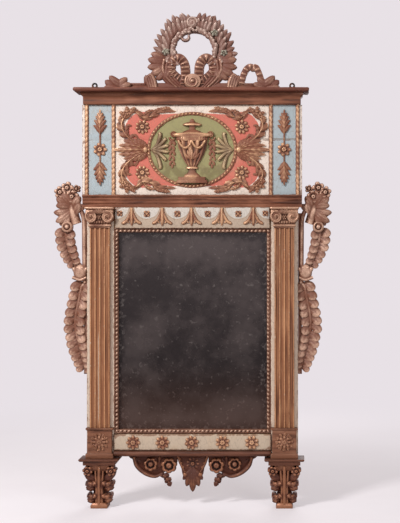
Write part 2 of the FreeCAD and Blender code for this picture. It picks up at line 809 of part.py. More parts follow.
def pedestal(name):
    """The left pedestal: plinth, die and cap in one block."""
    half, front = S.pedestal_width / 2, S.pedestal_thick
    low, high = S.plinth_height, S.plinth_height + S.pedestal_height
    top, over, edge = high + S.pedestal_cap_height, S.cap_overhang, S.plinth_height / 4
    piece = Piece(name, -STILE_MIDDLE, FACE, AT.body)
    piece.stage(Size(0, "0"), half + over, front + over, low - edge, half + over, front + over)
    piece.stage(low - edge, half, front, high, half, front)
    piece.stage(high, half + over / 2, front + over / 2, top - edge, half + over / 2,
                front + over / 2)
    piece.stage(top - edge, half + over, front + over, top, half + over, front + over)
    return piece.body


def shelf(name):
    """The left shelf that carries stile and pedestal, with its fascia below."""
    half, front = S.shelf_width / 2, S.shelf_depth
    low, top = S.shelf_fascia_height, S.shelf_fascia_height + S.shelf_height
    under = (S.shelf_fascia_width / 2, S.shelf_fascia_depth)
    piece = Piece(name, -STILE_MIDDLE, 0, AT.shelf_fascia)
    piece.stage(Size(0, "0"), *under, low, *under)
    inner = (half - S.moulding_step, front - S.moulding_step)
    piece.stage(low, *inner, low + S.moulding_step, *inner)
    piece.stage(low + S.moulding_step, half, front, top, half, front)
    piece.cut("XY_Plane", [tongue_outline(Size(0, "0"))])
    return piece.body


def tapered_block(low_half, low_deep, high_half, high_deep, low, high):
    """A block with flat sides between two levels, in a carving's own frame."""
    rings = []
    for half, deep, level in ((low_half, low_deep, low), (high_half, high_deep, high)):
        rings.append([Vec(-half, 0, level), Vec(half, 0, level),
                      Vec(half, -deep, level), Vec(-half, -deep, level)])
    below, above = rings
    faces = [below, above]
    for here in range(4):
        there = (here + 1) % 4
        faces.append([below[here], below[there], above[there], above[here]])
    return closed_solid(faces)


def capital(name):
    """The left capital: astragal, bell, two volutes with a leaf between, and the abacus."""
    half, deep = mm(S.capital_width) / 2, mm(S.capital_thick)
    ring, tall = mm(S.astragal_height), mm(S.capital_height)
    abacus, radius = mm(S.abacus_height), mm(S.volute_radius)
    shaft, thick = mm(S.pilaster_width) / 2, mm(S.pilaster_thick)
    swell = ring * 0.4
    parts = [tapered_block(shaft, thick, shaft + swell, thick + swell, 0, ring / 2),
             tapered_block(shaft + swell, thick + swell, shaft, thick, ring / 2, ring),
             tapered_block(shaft, thick, half - radius, deep * 0.7, ring, tall - abacus),
             tapered_block(half - abacus / 3, deep - abacus / 3, half, deep, tall - abacus, tall)]
    for side in (-1, 1):
        centre = (side * (half - radius), ring + radius)
        disc = arc_points(centre, (radius, radius), 0, 360, 12)[:-1]
        parts.append(pointed(disc, deep * 0.75, deep, centre))
    parts.append(leaf(tall - abacus - ring, radius * 0.6, 2, deep * 0.8, deep * 0.96, 270,
                      0, tall - abacus))
    return carving(name, joined(parts), -STILE_MIDDLE, FACE, AT.capital)


def foot(name):
    """The left bracket foot: a ribbed stem with two pairs of curled leaves, and flowers above."""
    half, block = mm(S.foot_width) / 2, mm(S.foot_block_width) / 2
    tall, base, deep = mm(S.foot_height), mm(S.foot_block_height), mm(S.foot_depth)
    leaves = ((0.52, 0.26, 0.78), (0.64, 0.47, 0.50), (0.70, 0.60, 0.91), (0.66, 0.70, 0.62),
              (0.80, 0.80, 1.0), (0.86, 0.92, 1.0))
    side = [(block * 0.75, base), (half * 0.40, tall * 0.16)]
    side += [(half * reach, tall * level) for _, level, reach in leaves]
    side.append((half * 0.92, tall))
    outline = side + [(-u, v) for u, v in reversed(side)]
    parts = [tapered_block(block, deep, block * 0.9, deep * 0.95, 0, base),
             plate(outline, deep * 0.7)]
    for level, reach in ((0.18, 0.82), (0.50, 0.95)):
        for way in (-1, 1):
            parts.append(leaf(half * reach, tall * 0.1, 1, deep * 0.6, deep * 0.88,
                              90 - way * 60, 0, tall * level))
    for way in (-1, 1):
        parts.append(flower(half * 0.25, 5, deep * 0.9, way * half * 0.72, tall * 0.86))
    parts.append(ridge_strip([(0.0, base), (0.0, tall)], [block * 0.3, block * 0.4],
                             deep * 0.85, deep))
    socket = Part.makeBox(mm(S.tongue_width), mm(S.tongue_thick), mm(S.foot_socket))
    centre = mm(S.stile_thick) / 2 - mm(S.foot_back)
    socket.translate(Vec(-mm(S.tongue_width) / 2, -centre - mm(S.tongue_thick) / 2,
                         tall - mm(S.foot_socket)))
    return carving(name, joined(parts).cut(socket), -STILE_MIDDLE, S.foot_back, AT.floor)


# ---------------------------------------------------------------- ornament of the upper panel

def oval_frame():
    """A beaded oval ring round the urn."""
    wide, tall = mm(S.oval_half_width), mm(S.oval_half_height)
    rim, thick, count = mm(S.oval_rim), mm(S.oval_thick), 36
    rings = []
    for inset, rise in ((0, 0), (0, thick * 0.55), (rim / 2, thick), (rim, thick * 0.55), (rim, 0)):
        points = arc_points((0, 0), (wide - inset, tall - inset), 0, 360, count)[:-1]
        rings.append([spot(p, rise) for p in points])
    faces = []
    for one, other in zip(rings, rings[1:] + rings[:1]):
        for here in range(count):
            there = (here + 1) % count
            faces.append([one[here], one[there], other[there]])
            faces.append([one[here], other[there], other[here]])
    carving("oval_frame", closed_solid(faces), 0, FACE + S.panel_thick, AT.panel_middle)


def urn_half():
    """Half of the urn's outline as shares of its width and height, from the foot up."""
    return ((0.50, 0.0), (0.50, 0.045), (0.45, 0.05), (0.45, 0.12), (0.20, 0.14), (0.09, 0.20),
            (0.15, 0.24), (0.30, 0.33), (0.42, 0.46), (0.48, 0.57), (0.50, 0.65), (0.54, 0.66),
            (0.54, 0.71), (0.62, 0.72), (0.60, 0.77), (0.30, 0.80), (0.08, 0.83), (0.08, 0.90),
            (0.30, 0.91), (0.28, 0.96), (0.07, 0.97), (0.05, 1.0))


def urn_relief():
    """The urn on its plinth, with a curled handle and a husk drop at each side."""
    tall, wide, thick = mm(S.urn_height), mm(S.urn_width), mm(S.urn_thick)
    low = -tall / 2
    path = [(0.0, low + tall * v) for _, v in urn_half()]
    parts = [ridge_strip(path, [wide * u for u, _ in urn_half()], thick * 0.35, thick)]
    swell = [wide * u for u in (0.06, 0.075, 0.07, 0.08, 0.075, 0.075, 0.06, 0.055, 0.025)]
    for side in (-1, 1):
        reach, rim, curl = side * wide * 0.66, low + tall * 0.745, wide * 0.083
        ring = arc_points((reach, rim), (curl, curl), 0, 360, 10)[:-1]
        parts.append(pointed(ring, thick * 0.4, thick * 0.6, (reach, rim)))
        drop = [(reach, rim - tall * (0.03 + 0.42 * step / 8)) for step in range(9)]
        parts.append(husks(drop, swell, thick * 0.2, thick * 0.45))
        parts.append(ridge_strip([(side * wide * 0.5, rim), (reach, rim)], [curl / 2] * 2,
                                 thick * 0.3, thick * 0.5))
        parts.append(ridge_strip([(reach, rim), (reach, rim - tall * 0.04)], [curl * 0.4] * 2,
                                 thick * 0.2, thick * 0.4))
    carving("urn_relief", joined(parts), 0, FACE + S.panel_thick, AT.panel_middle)


def palm_sprays():
    """A fan of five palm leaves at each side of the urn."""
    fans = []
    inner = mm(S.oval_half_width - S.oval_rim)
    length, thick = mm(S.palm_length), mm(S.carving_thick)
    for side in (-1, 1):
        root = (side * (inner - length * 0.15), 0.0)
        heart = 0 if side < 0 else 180
        blades = [flower(length * 0.13, 6, thick * 0.8, *root)]
        for blade, angle in enumerate((-68, -36, 0, 36, 68)):
            size = length * (1.0 if blade == 2 else 0.95)
            blades.append(leaf(size, length * 0.13, 1, thick * 0.4, thick * 0.8,
                               heart + angle, *root))
        fans.append(joined(blades))
    carving("palm_sprays", Part.makeCompound(fans), 0, FACE + S.panel_thick, AT.panel_middle)


def scroll_heart():
    """How far a scroll's middle lies from the two middle lines of the panel, and its radii."""
    across, bay = corner_bay()
    rise = mm(S.panel_height) / 2 - mm(S.carving_gap)
    return (across + bay * 0.16, rise * 0.52), (bay * 0.64, rise * 0.425)


def corner_bay():
    """Where the leafwork starts beside the oval, and how wide a bay it has to the inner twist."""
    across = mm(S.oval_half_width) + mm(S.carving_gap)
    return across, mm(OPENING - S.twist_width) / 2 - mm(S.carving_gap) - across


def rinceau(name):
    """The left scrolled leafwork: a palmette at the oval's side and a C-scroll above and below."""
    ridge, half = mm(S.carving_thick), mm(S.scroll_width) / 2
    edge, rise = ridge * 0.45, mm(S.panel_height) / 2
    across, bay = corner_bay()
    (reach, level), radii = scroll_heart()
    parts = [leaf(bay, bay * 0.22, 3, edge, ridge, 180, -across, 0)]
    for way in (-1, 1):
        centre = (-reach, way * level)
        curve = arc_points(centre, radii, way * -96, way * -250, 9)
        widths = [half * (0.55 + 0.45 * math.sin(math.pi * (k + 1) / 10)) for k in range(10)]
        parts.append(ridge_strip(curve, widths, edge, ridge))
        for angle, share in ((-160, 0.30), (-215, 0.26)):
            root = arc_points(centre, radii, way * angle, way * angle, 1)[0]
            parts.append(leaf(radii[0] * share, half * 1.1, 1, edge, ridge,
                              way * (angle - 26), *root))
        u, v = curve[-1]
        tail = [(u + across * along, v - way * rise * drop) for along, drop in
                ((-0.04, 0.0), (0.165, 0.022), (0.34, 0.077), (0.53, 0.055), (0.725, 0.011))]
        parts.append(ridge_strip(tail, [half * w for w in (0.8, 1.5, 1.0, 1.3, 0.25)],
                                 edge, ridge))
    return carving(name, joined(parts), 0, FACE + S.panel_thick, AT.panel_middle)


def field_rosettes():
    """Four open flowers, one in the curl of each scroll."""
    (reach, level), _ = scroll_heart()
    blooms = [flower(mm(S.field_rosette), 8, mm(S.carving_thick), side * reach, way * level)
              for side in (-1, 1) for way in (-1, 1)]
    carving("field_rosettes", Part.makeCompound(blooms), 0, FACE + S.panel_thick,
            AT.panel_middle)


def side_drop(name):
    """The left drop on the blue field: a leaf, a flower and a leaf on one stalk."""
    size, thick = mm(S.drop_leaf), mm(S.carving_thick)
    bloom = mm(S.drop_rosette)
    field = (PANEL_WIDTH / 2 - S.twist_width + OPENING / 2) / 2
    parts = [leaf(size, size * 0.28, 3, thick * 0.4, thick, 90, 0, bloom + size * 0.28),
             leaf(size * 1.1, size * 0.28, 3, thick * 0.4, thick, 270, 0, -bloom - size * 0.12),
             ridge_strip([(0.0, bloom + size * 0.34), (0.0, -bloom - size * 0.18)],
                         [size * 0.03] * 2, thick * 0.3, thick * 0.5),
             flower(bloom, 8, thick)]
    return carving(name, joined(parts), -field, FACE + S.panel_thick, AT.panel_middle)


# ---------------------------------------------------------------- ornament of the two friezes

def bays(count):
    """The middles of equal bays along the glass opening."""
    return [mm(OPENING) * ((bay + 0.5) / count - 0.5) for bay in range(count)]


def frieze_pendants():
    """Drops of three husks that hang from the architrave."""
    tall, half, thick = mm(S.capital_height), mm(S.pendant_width) / 2, mm(S.pendant_thick)
    drops = []
    for x in bays(PENDANTS):
        parts = [ridge_strip([(x, tall), (x, tall * 0.3), (x, tall * 0.12)],
                             [half * 0.15, half * 0.18, half * 0.05], thick * 0.4, thick)]
        for way in (-1, 1):
            arm = [(x, tall * 0.8), (x + way * half * 0.45, tall * 0.38),
                   (x + way * half * 0.95, tall * 0.22)]
            parts.append(ridge_strip(arm, [half * w for w in (0.08, 0.18, 0.08)],
                                     thick * 0.4, thick))
        drops.append(joined(parts))
    carving("frieze_pendants", Part.makeCompound(drops), 0, FACE + S.frieze_thick, AT.capital)


def frieze_florets():
    """A small square flower between each pair of drops."""
    tall, half, thick = mm(S.capital_height), mm(S.floret_width) / 2, mm(S.pendant_thick)
    middles = bays(PENDANTS)
    petal = [(half, half), (half * 0.25, half * 0.8), (-half, half), (-half * 0.8, half * 0.25),
             (-half, -half), (-half * 0.25, -half * 0.8), (half, -half), (half * 0.8, -half * 0.25)]
    flowers = []
    for before, after in zip(middles, middles[1:]):
        x, v = (before + after) / 2, tall * 0.72
        flowers.append(pointed(turned(petal, 0, x, v), thick * 0.4, thick * 0.9, (x, v)))
    carving("frieze_florets", Part.makeCompound(flowers), 0, FACE + S.frieze_thick, AT.capital)


def frieze_rosettes():
    tall = mm(S.bottom_rail_height - S.base_moulding_height)
    thick = mm(S.rosette_thick)
    blooms = [flower(mm(S.frieze_rosette), 8, thick, x, tall / 2) for x in bays(ROSETTES)]
    carving("frieze_rosettes", Part.makeCompound(blooms), 0, FACE + S.frieze_thick,
            AT.rail + S.base_moulding_height)


def pedestal_rosettes():
    middle, thick = mm(STILE_MIDDLE), mm(S.rosette_thick)
    blooms = [flower(mm(S.pedestal_rosette), 8, thick, side * middle, 0) for side in (-1, 1)]
    carving("pedestal_rosettes", Part.makeCompound(blooms), 0, FACE + S.pedestal_thick,
            AT.pedestal + S.pedestal_height / 2)


# ---------------------------------------------------------------- the apron under the frame

def apron_pendant():
    """The middle drop: a bell of leaves that narrows to a pointed tip."""
    wide, tall, thick = mm(S.apron_width) / 2, mm(S.apron_drop), mm(S.apron_thick)
    shares = ((1.0, 0.0), (0.9, 0.10), (0.66, 0.24), (0.60, 0.36), (0.80, 0.44), (0.62, 0.54),
              (0.70, 0.68), (0.50, 0.80), (0.28, 0.92), (0.04, 1.0))
    path = [(0.0, -tall * v) for _, v in shares]
    halves = [wide * u for u, _ in shares]
    shape = ridge_strip(path, halves, thick * 0.55, thick)
    carving("apron_pendant", shape, 0, S.stile_thick - S.apron_thick, AT.rail)


def apron_swag(name):
    """The left swag: a C-scroll with two flowers and a leaf that turns down at its inner end."""
    tall, thick = mm(S.swag_drop), mm(S.apron_thick)
    inner = -mm(S.apron_width) / 2 - mm(S.carving_gap)
    wide = mm(STILE_MIDDLE - S.shelf_width / 2 - S.swag_gap) + inner
    shares = ((-1.0, 0.0), (-0.97, 0.20), (-0.84, 0.52), (-0.66, 0.72), (-0.48, 0.82),
              (-0.30, 0.84), (-0.14, 1.0), (-0.04, 1.14), (-0.02, 0.98), (-0.12, 0.72),
              (-0.08, 0.40), (0.0, 0.0))
    outline = [(inner + wide * u, -tall * v) for u, v in shares]
    parts = [plate(outline, thick * 0.6)]
    rim = [(inner + wide * u, -tall * v) for u, v in shares[1:6]]
    widths = [(wide * 0.013, wide * w) for w in (0.025, 0.035, 0.04, 0.035, 0.025)]
    parts.append(ridge_strip(rim, widths, thick * 0.6, thick * 0.85))
    for share, radius in ((-0.56, 0.126), (-0.18, 0.136)):
        parts.append(flower(wide * radius, 8, thick, inner + wide * share, -tall * 0.42))
    return carving(name, joined(parts), 0, S.stile_thick - S.apron_thick, AT.rail)


# ---------------------------------------------------------------- the crest

def crest_base():
    """The strip that stands on the crown, with a broken-edged leaf at each end."""
    half, strip, thick = mm(S.crest_width) / 2, mm(S.crest_strip_height), mm(S.crest_thick)
    wide, tall = mm(S.end_leaf_width), mm(S.end_leaf_height)
    left = [(0.0, 0.14), (0.08, 0.43), (0.18, 0.96), (0.30, 0.93), (0.44, 0.57), (0.66, 0.64),
            (0.76, 1.0), (0.94, 0.93)]
    right = [(0.36, 0.61), (0.16, 0.90), (0.10, 0.39), (0.0, 0.11)]
    outline = [(-half, 0.0)] + [(wide * u - half, tall * v) for u, v in left]
    outline += [(wide - half, strip), (half - wide * 0.56, strip)]
    outline += [(half - wide * u, tall * v) for u, v in right] + [(half, 0.0)]
    parts = [plate(outline, thick)]
    for way in (-1, 1):
        parts.append(leaf(wide * 0.58, wide * 0.15, 2, thick, thick * 1.5, 90 - way * 66,
                          way * (half - wide * 0.64), tall * 0.18))
    carving("crest_base", joined(parts), 0, S.crest_back, AT.crest)


def crest_bow():
    """The ribbon bow under the wreath, pierced at its loops and beside its tails."""
    half, strip, rise = mm(S.bow_width) / 2, mm(S.crest_strip_height), mm(S.bow_height)
    thick, relief = mm(S.crest_thick), mm(S.crest_relief)

    def at(u, v):
        """A place from its shares of the bow's half width and of its height over the strip."""
        return u * half, strip + v * rise

    side = [(1.05, 0.0), (1.07, 0.21), (1.02, 0.37), (0.94, 0.33), (0.99, 0.48), (0.965, 0.635),
            (1.0, 0.79), (0.955, 1.0)]
    slit = [(0.06, 1.0), (0.045, 0.31), (-0.07, 0.31), (-0.06, 1.0)]
    outline = side + slit + [(-u, v) for u, v in reversed(side)]
    body = plate([at(u, v) for u, v in outline], thick)
    holes, over = [], []
    for way in (-1, 1):
        centre = at(way * 0.30, 0.615)
        holes.append(arc_points(centre, (half * 0.064, rise * 0.173), 0, 360, 10)[:-1])
        holes.append([at(way * 0.61, 0.05), at(way * 0.855, 0.05), at(way * 0.74, 0.35)])
        loop = arc_points(centre, (half * 0.127, rise * 0.346), 90 - way * 90, 90 + way * 230, 8)
        over.append(ridge_strip(loop, [half * 0.052] * 9, relief * 0.4, relief))
        tail = arc_points(at(way * 0.127, 0.635), (half * 0.45, rise * 0.71), -90 + way * 86,
                          -90 + way * 6, 5)
        widths = [half * w for w in (0.07, 0.075, 0.08, 0.075, 0.07, 0.052)]
        over.append(ridge_strip(tail, widths, relief * 0.4, relief))
        over.append(leaf(half * 0.277, half * 0.104, 2, relief * 0.3, relief * 0.7,
                         90 + way * 12, *at(way * 1.035, -0.173)))
    for corners in holes:
        cutter = plate(corners, thick + 2)
        cutter.translate(Vec(0, 1, 0))
        body = body.cut(cutter)
    disc = arc_points(at(0, 0), (half * 0.173, rise * 0.25), 0, 360, 10)[:-1]
    over.append(pointed(disc, relief * 0.7, relief * 1.4, at(0, 0)))
    for piece in over:
        piece.translate(Vec(0, -thick, 0))
    carving("crest_bow", joined([body] + over), 0, S.crest_back, AT.crest)


def crest_wreath():
    """The laurel wreath: an open ring of leaf tips, cut flat where it stands on the bow."""
    low = mm(S.crest_strip_height + S.bow_height)
    tall = mm(S.crest_height) - low
    half, hole = mm(S.wreath_width) / 2, mm(S.wreath_opening) / 2
    thick, tips = mm(S.crest_thick), 13
    middle = low + tall * 0.16
    rise = tall * 0.84
    outer, inner, crest = [], [], []
    for step in range(2 * tips + 1):
        angle = math.radians(-16 + 212 * step / (2 * tips))
        tip = 1.0 if step % 2 else 0.87
        across, up = math.cos(angle), math.sin(angle)
        outer.append((half * tip * across, middle + rise * tip * up))
        inner.append((hole * across, middle + hole * 0.92 * up))
        crest.append(tuple(0.55 * far + 0.45 * near for far, near in zip(outer[-1], inner[-1])))
    ring = ridge_band(outer, inner, crest, thick, thick + mm(S.crest_relief))
    floor = Part.makeBox(4 * half, 4 * thick, half, Vec(-2 * half, -3 * thick, low - half))
    carving("crest_wreath", ring.cut(floor), 0, S.crest_back, AT.crest)


def crest_arch():
    """The looped ribbon that stands on the strip between the bow and the right end leaf."""
    strip, thick = mm(S.crest_strip_height), mm(S.crest_thick)
    ribbon, tall = mm(S.ribbon_width) / 2, mm(S.arch_height)
    near = mm(S.bow_width) / 2 * 1.08
    far = mm(S.crest_width) / 2 - mm(S.end_leaf_width) * 0.6
    middle, half = (near + far) / 2, (far - near) / 2 - ribbon - 2 * mm(S.carving_gap)
    curve = arc_points((middle, strip - ribbon * 0.8), (half, tall), 184, -4, 10)
    loop = ridge_strip(curve, [ribbon] * 11, thick * 0.7, thick)
    floor = Part.makeBox(4 * half, 4 * thick, 4 * ribbon,
                         Vec(middle - 2 * half, -3 * thick, strip - 4 * ribbon))
    carving("crest_ribbon_arch", loop.cut(floor), 0, S.crest_back, AT.crest)


# ---------------------------------------------------------------- the side garlands

def garland_bracket(name):
    """The left bracket: a stem on the stile's edge, a bouquet above, husks and a cup below."""
    edge, ridge = mm(S.garland_edge), mm(S.garland_ridge)
    stem, reach, bloom = mm(S.stem_width), mm(S.bouquet_reach), mm(S.flower_radius)
    cup, deep = mm(S.cup_width), mm(S.cup_height)
    high, rise = mm(S.stem_height), mm(S.bouquet_height)
    parts = [plate([(-stem, 0), (0, 0), (0, high), (-stem, high)], edge)]
    basket = [(cup * u, deep * v) for u, v in ((-0.88, 0.0), (-0.08, 0.0), (0.0, 0.31),
                                               (0.0, 1.0), (-1.0, 1.0), (-1.08, 0.31))]
    parts.append(pointed(basket, edge * 1.4, ridge, (-cup / 2, deep / 2)))
    knot, root = (-reach * 0.59, high * 0.8), (-cup * 0.62, deep * 0.77)
    chain = [(root[0] + (knot[0] - root[0]) * share, root[1] + (knot[1] - root[1]) * share)
             for share in (0, 0.2, 0.36, 0.52, 0.68, 0.84, 1)]
    swell = [reach * w for w in (0.14, 0.19, 0.21, 0.20, 0.22, 0.22, 0.14)]
    parts.append(husks(chain, swell, edge, ridge))
    parts.append(flower(bloom * 0.85, 6, ridge * 1.05, *knot))
    stalk = [(-stem / 2, high * 0.86), (-stem * 0.9, high), (-stem * 2, high + rise * 0.24),
             (-stem * 2.8, high + rise * 0.56)]
    parts.append(ridge_strip(stalk, [stem * w for w in (0.46, 0.5, 0.54, 0.38)], edge,
                             ridge * 0.8))
    parts.append(ridge_strip([knot, (-reach * 0.475, high + rise * 0.18)], [stem / 2] * 2, edge,
                             ridge * 0.8))
    sprigs = ((-0.50, 0.0, 204, 0.50, 0.15), (-0.55, -0.13, 234, 0.37, 0.12),
              (-0.45, 0.24, 172, 0.40, 0.11), (-0.46, 0.42, 158, 0.53, 0.145),
              (-0.475, 0.52, 100, 0.42, 0.12), (-0.32, 0.19, 62, 0.33, 0.13))
    for u, v, angle, size, half in sprigs:
        parts.append(leaf(reach * size, reach * half, 2, edge, ridge * 0.9, angle, reach * u,
                          high + rise * v))
    parts.append(flower(bloom, 6, ridge * 1.25, bloom - reach, high + rise - bloom * 1.07))
    parts.append(flower(bloom, 6, ridge * 1.25, -reach * 0.47, high + rise - bloom * 1.9))
    return carving(name, joined(parts), -S.body_width / 2, S.garland_back,
                   AT.sill + S.garland_level)


def garland_drop(name):
    """The left drop: a long chain of paired husks on a thin backing strip."""
    edge, ridge, length = mm(S.garland_edge), mm(S.garland_ridge), mm(S.husk_chain)
    wide = mm(S.chain_reach)
    swell = (0.48, 0.57, 0.65, 0.72, 0.74, 0.74, 0.70, 0.63, 0.54, 0.41, 0.26)
    path, widths = [], []
    steps = 2 * len(swell)
    for step in range(steps):
        share = step / (steps - 1)
        bow = 0.26 + 0.74 * math.sin(math.pi * min(1.0, 0.14 + share * 0.86)) ** 0.9
        path.append((-wide * bow, -length * (0.016 + 0.978 * share)))
        widths.append(wide * swell[step // 2])
    widths[-1] = wide * 0.09
    back = wide * 0.35
    strip = plate([(-back, -length), (0, -length), (0, 0), (-back, 0)], edge)
    return carving(name, joined([strip, husks(path, widths, edge, ridge)]),
                   -S.body_width / 2, S.garland_back, AT.sill + S.garland_level)


# ---------------------------------------------------------------- the whole mirror

def build():
    """Every piece of the mirror, from the frame outward."""
    pairs = [("stile", stile), ("pilaster", pilaster), ("capital", capital),
             ("pedestal", pedestal), ("shelf", shelf), ("foot", foot), ("rinceau", rinceau),
             ("side_drop", side_drop), ("apron_swag", apron_swag),
             ("garland_bracket", garland_bracket), ("garland_drop", garland_drop)]
    for name, make in pairs:
        mirrored(f"{name}_right", make(f"{name}_left"))
    for row in rail_rows():
        rail(*row)
    for make in (tenon_pegs, foot_tongues, hanging_straps, strap_nails, mirror_glass,
                 glass_backboards, glass_blocks, sight_beading, panel_boards, frieze_boards,
                 base_moulding, architrave, cornice, twist_mouldings, oval_frame, urn_relief,
                 palm_sprays, field_rosettes, frieze_pendants, frieze_florets,
                 frieze_rosettes, pedestal_rosettes, apron_pendant, crest_base, crest_bow,
                 crest_wreath, crest_arch):
        make()
    DOC.recompute()


NODES = (
    "stile_left", "stile_right", "bottom_rail", "middle_rail", "top_rail", "tenon_pegs",
    "foot_tongues", "hanging_straps", "strap_nails", "mirror_glass", "glass_backboards",
    "glass_blocks", "sight_beading", "panel_board_lower", "panel_board_upper",
    "twist_outer_left", "twist_inner_left", "twist_inner_right", "twist_outer_right",
    "oval_frame", "urn_relief", "palm_sprays", "rinceau_left", "rinceau_right",
    "field_rosettes", "side_drop_left", "side_drop_right", "cornice_fascia", "cornice_crown",
    "architrave", "frieze_board", "frieze_pendants", "frieze_florets", "lower_frieze_board",
    "frieze_rosettes", "base_moulding", "pilaster_left", "pilaster_right", "capital_left",
    "capital_right", "pedestal_left", "pedestal_right", "pedestal_rosettes", "shelf_left",
    "shelf_right", "foot_left", "foot_right", "apron_pendant", "apron_swag_left",
    "apron_swag_right", "crest_base", "crest_bow", "crest_wreath", "crest_ribbon_arch",
    "garland_bracket_left", "garland_bracket_right", "garland_drop_left",
    "garland_drop_right",
)


def check_and_write():
    """Refuses a failed object or a bad solid, then writes each piece to its own file."""
    for item in DOC.Objects:
        if "Invalid" in item.State or "Error" in item.State:
            raise RuntimeError(f"{item.Name} is {item.State}")
    os.makedirs("parts", exist_ok=True)
    pieces = {item.Label: item for item in DOC.Objects if hasattr(item, "Shape")}
    for name in NODES:
        shape = pieces[name].Shape
        if shape.isNull() or not shape.isValid() or not shape.Solids:
            raise RuntimeError(f"{name} has no valid solid")
    for name in NODES:
        pieces[name].Shape.exportStep(os.path.join("parts", f"{name}.step"))
    print(f"{len(NODES)} pieces written")


build()
check_and_write()
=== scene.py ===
"""Looks of a carved and gilded trumeau mirror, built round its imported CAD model.

Lengths are millimetres in the CAD frame: X runs right, Z up, and the front faces -Y. A mesh is
scaled to metres when it is made.
"""
import bmesh
import bpy
import logging
import random
from dataclasses import dataclass
from enum import Enum
from math import atan2, copysign, cos, degrees, dist, exp, pi, radians, sin
from typing import Callable, Sequence, TypeAlias

import numpy as np
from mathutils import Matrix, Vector


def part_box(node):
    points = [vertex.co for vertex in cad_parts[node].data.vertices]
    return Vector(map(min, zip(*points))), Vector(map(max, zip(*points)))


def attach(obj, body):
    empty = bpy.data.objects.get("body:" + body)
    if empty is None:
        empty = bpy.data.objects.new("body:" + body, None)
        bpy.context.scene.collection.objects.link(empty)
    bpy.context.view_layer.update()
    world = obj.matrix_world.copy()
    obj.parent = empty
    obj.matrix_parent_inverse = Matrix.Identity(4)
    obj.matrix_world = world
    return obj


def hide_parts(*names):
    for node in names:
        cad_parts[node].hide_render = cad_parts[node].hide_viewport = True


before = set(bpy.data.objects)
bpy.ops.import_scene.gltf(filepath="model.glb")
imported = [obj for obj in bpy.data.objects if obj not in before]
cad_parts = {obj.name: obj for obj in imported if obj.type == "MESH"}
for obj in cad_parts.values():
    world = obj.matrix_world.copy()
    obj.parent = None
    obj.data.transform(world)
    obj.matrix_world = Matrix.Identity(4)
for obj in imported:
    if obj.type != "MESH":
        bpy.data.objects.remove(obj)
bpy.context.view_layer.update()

LOG = logging.getLogger("trumeau")
MM = 0.001
FACE = 10.0        # y of the frame's front
PANEL = -2.0       # y of the upper panel's front
FRIEZE = 2.0       # y of the frieze boards' front
HANDS = ((-1, "left"), (1, "right"))
ACROSS, UPRIGHT = (0.10, 1.0, 1.0), (1.0, 1.0, 0.10)   # noise scale along and across the grain
SHARP = 62.0       # degrees between faces from which an edge shows
Point: TypeAlias = tuple[float, float]
Spot: TypeAlias = tuple[float, float, float]
Line: TypeAlias = tuple[Point, ...]
Colour: TypeAlias = tuple[float, float, float, float]
Amount: TypeAlias = "Signal | float"
Lift: TypeAlias = Callable[[float], float]


def tone(red: int, green: int, blue: int) -> Colour:
    """Gives the linear colour of three values from 0 to 255.

    Args:
        red: the red value.
        green: the green value.
        blue: the blue value.

    Returns:
        The colour.
    """
    linear = [c / 12.92 if c <= 0.04045 else ((c + 0.055) / 1.055) ** 2.4
              for c in (red / 255, green / 255, blue / 255)]
    return (linear[0], linear[1], linear[2], 1.0)


# ------------ materials

def operator(operation: str, swap: bool = False) -> Callable[["Signal", Amount], "Signal"]:
    """Gives an operator of Signal that adds one Math node.

    Args:
        operation: the Math node's operation.
        swap: puts the signal second, for the reflected form.

    Returns:
        The method.
    """
    def method(signal: "Signal", other: Amount) -> "Signal":
        """Works on a signal and a number or another signal."""
        return signal.combine(operation, other, swap=swap)
    return method


class Signal:
    """A number on a node socket. Arithmetic on it adds Math nodes to its tree."""

    def __init__(self, paint: "Nodes", socket: bpy.types.NodeSocket) -> None:
        """Wraps a socket of a node tree.

        Args:
            paint: the tree being made.
            socket: the output that holds the number.
        """
        self.paint, self.socket = paint, socket

    def combine(self, operation: str, *others: Amount, swap: bool = False) -> "Signal":
        """Adds one Math node.

        Args:
            operation: the Math node's operation.
            others: its further operands.
            swap: puts this signal second.

        Returns:
            The node's result.
        """
        operands = [self, *others]
        if swap:
            operands.reverse()
        node = self.paint.node("ShaderNodeMath", {"operation": operation},
                               dict(enumerate(operands)))
        return Signal(self.paint, node.outputs[0])

    __add__ = __radd__ = operator("ADD")
    __sub__, __rsub__ = operator("SUBTRACT"), operator("SUBTRACT", swap=True)
    __mul__ = __rmul__ = operator("MULTIPLY")
    __truediv__, __rtruediv__ = operator("DIVIDE"), operator("DIVIDE", swap=True)
    __pow__ = operator("POWER")
    least, most = operator("MINIMUM"), operator("MAXIMUM")

    def __abs__(self) -> "Signal":
        """Size without sign."""
        return self.combine("ABSOLUTE")

    def above(self, low: float, high: float) -> "Signal":
        """A soft step that goes from 0 at low to 1 at high, or back where low is larger.

        Args:
            low: the signal at which the step starts.
            high: the signal at which it ends.

        Returns:
            The step.
        """
        inputs = {0: self, 1: min(low, high), 2: max(low, high)}
        node = self.paint.node("ShaderNodeMapRange", {"interpolation_type": "SMOOTHSTEP"}, inputs)
        step = Signal(self.paint, node.outputs[0])
        return step if low < high else 1 - step


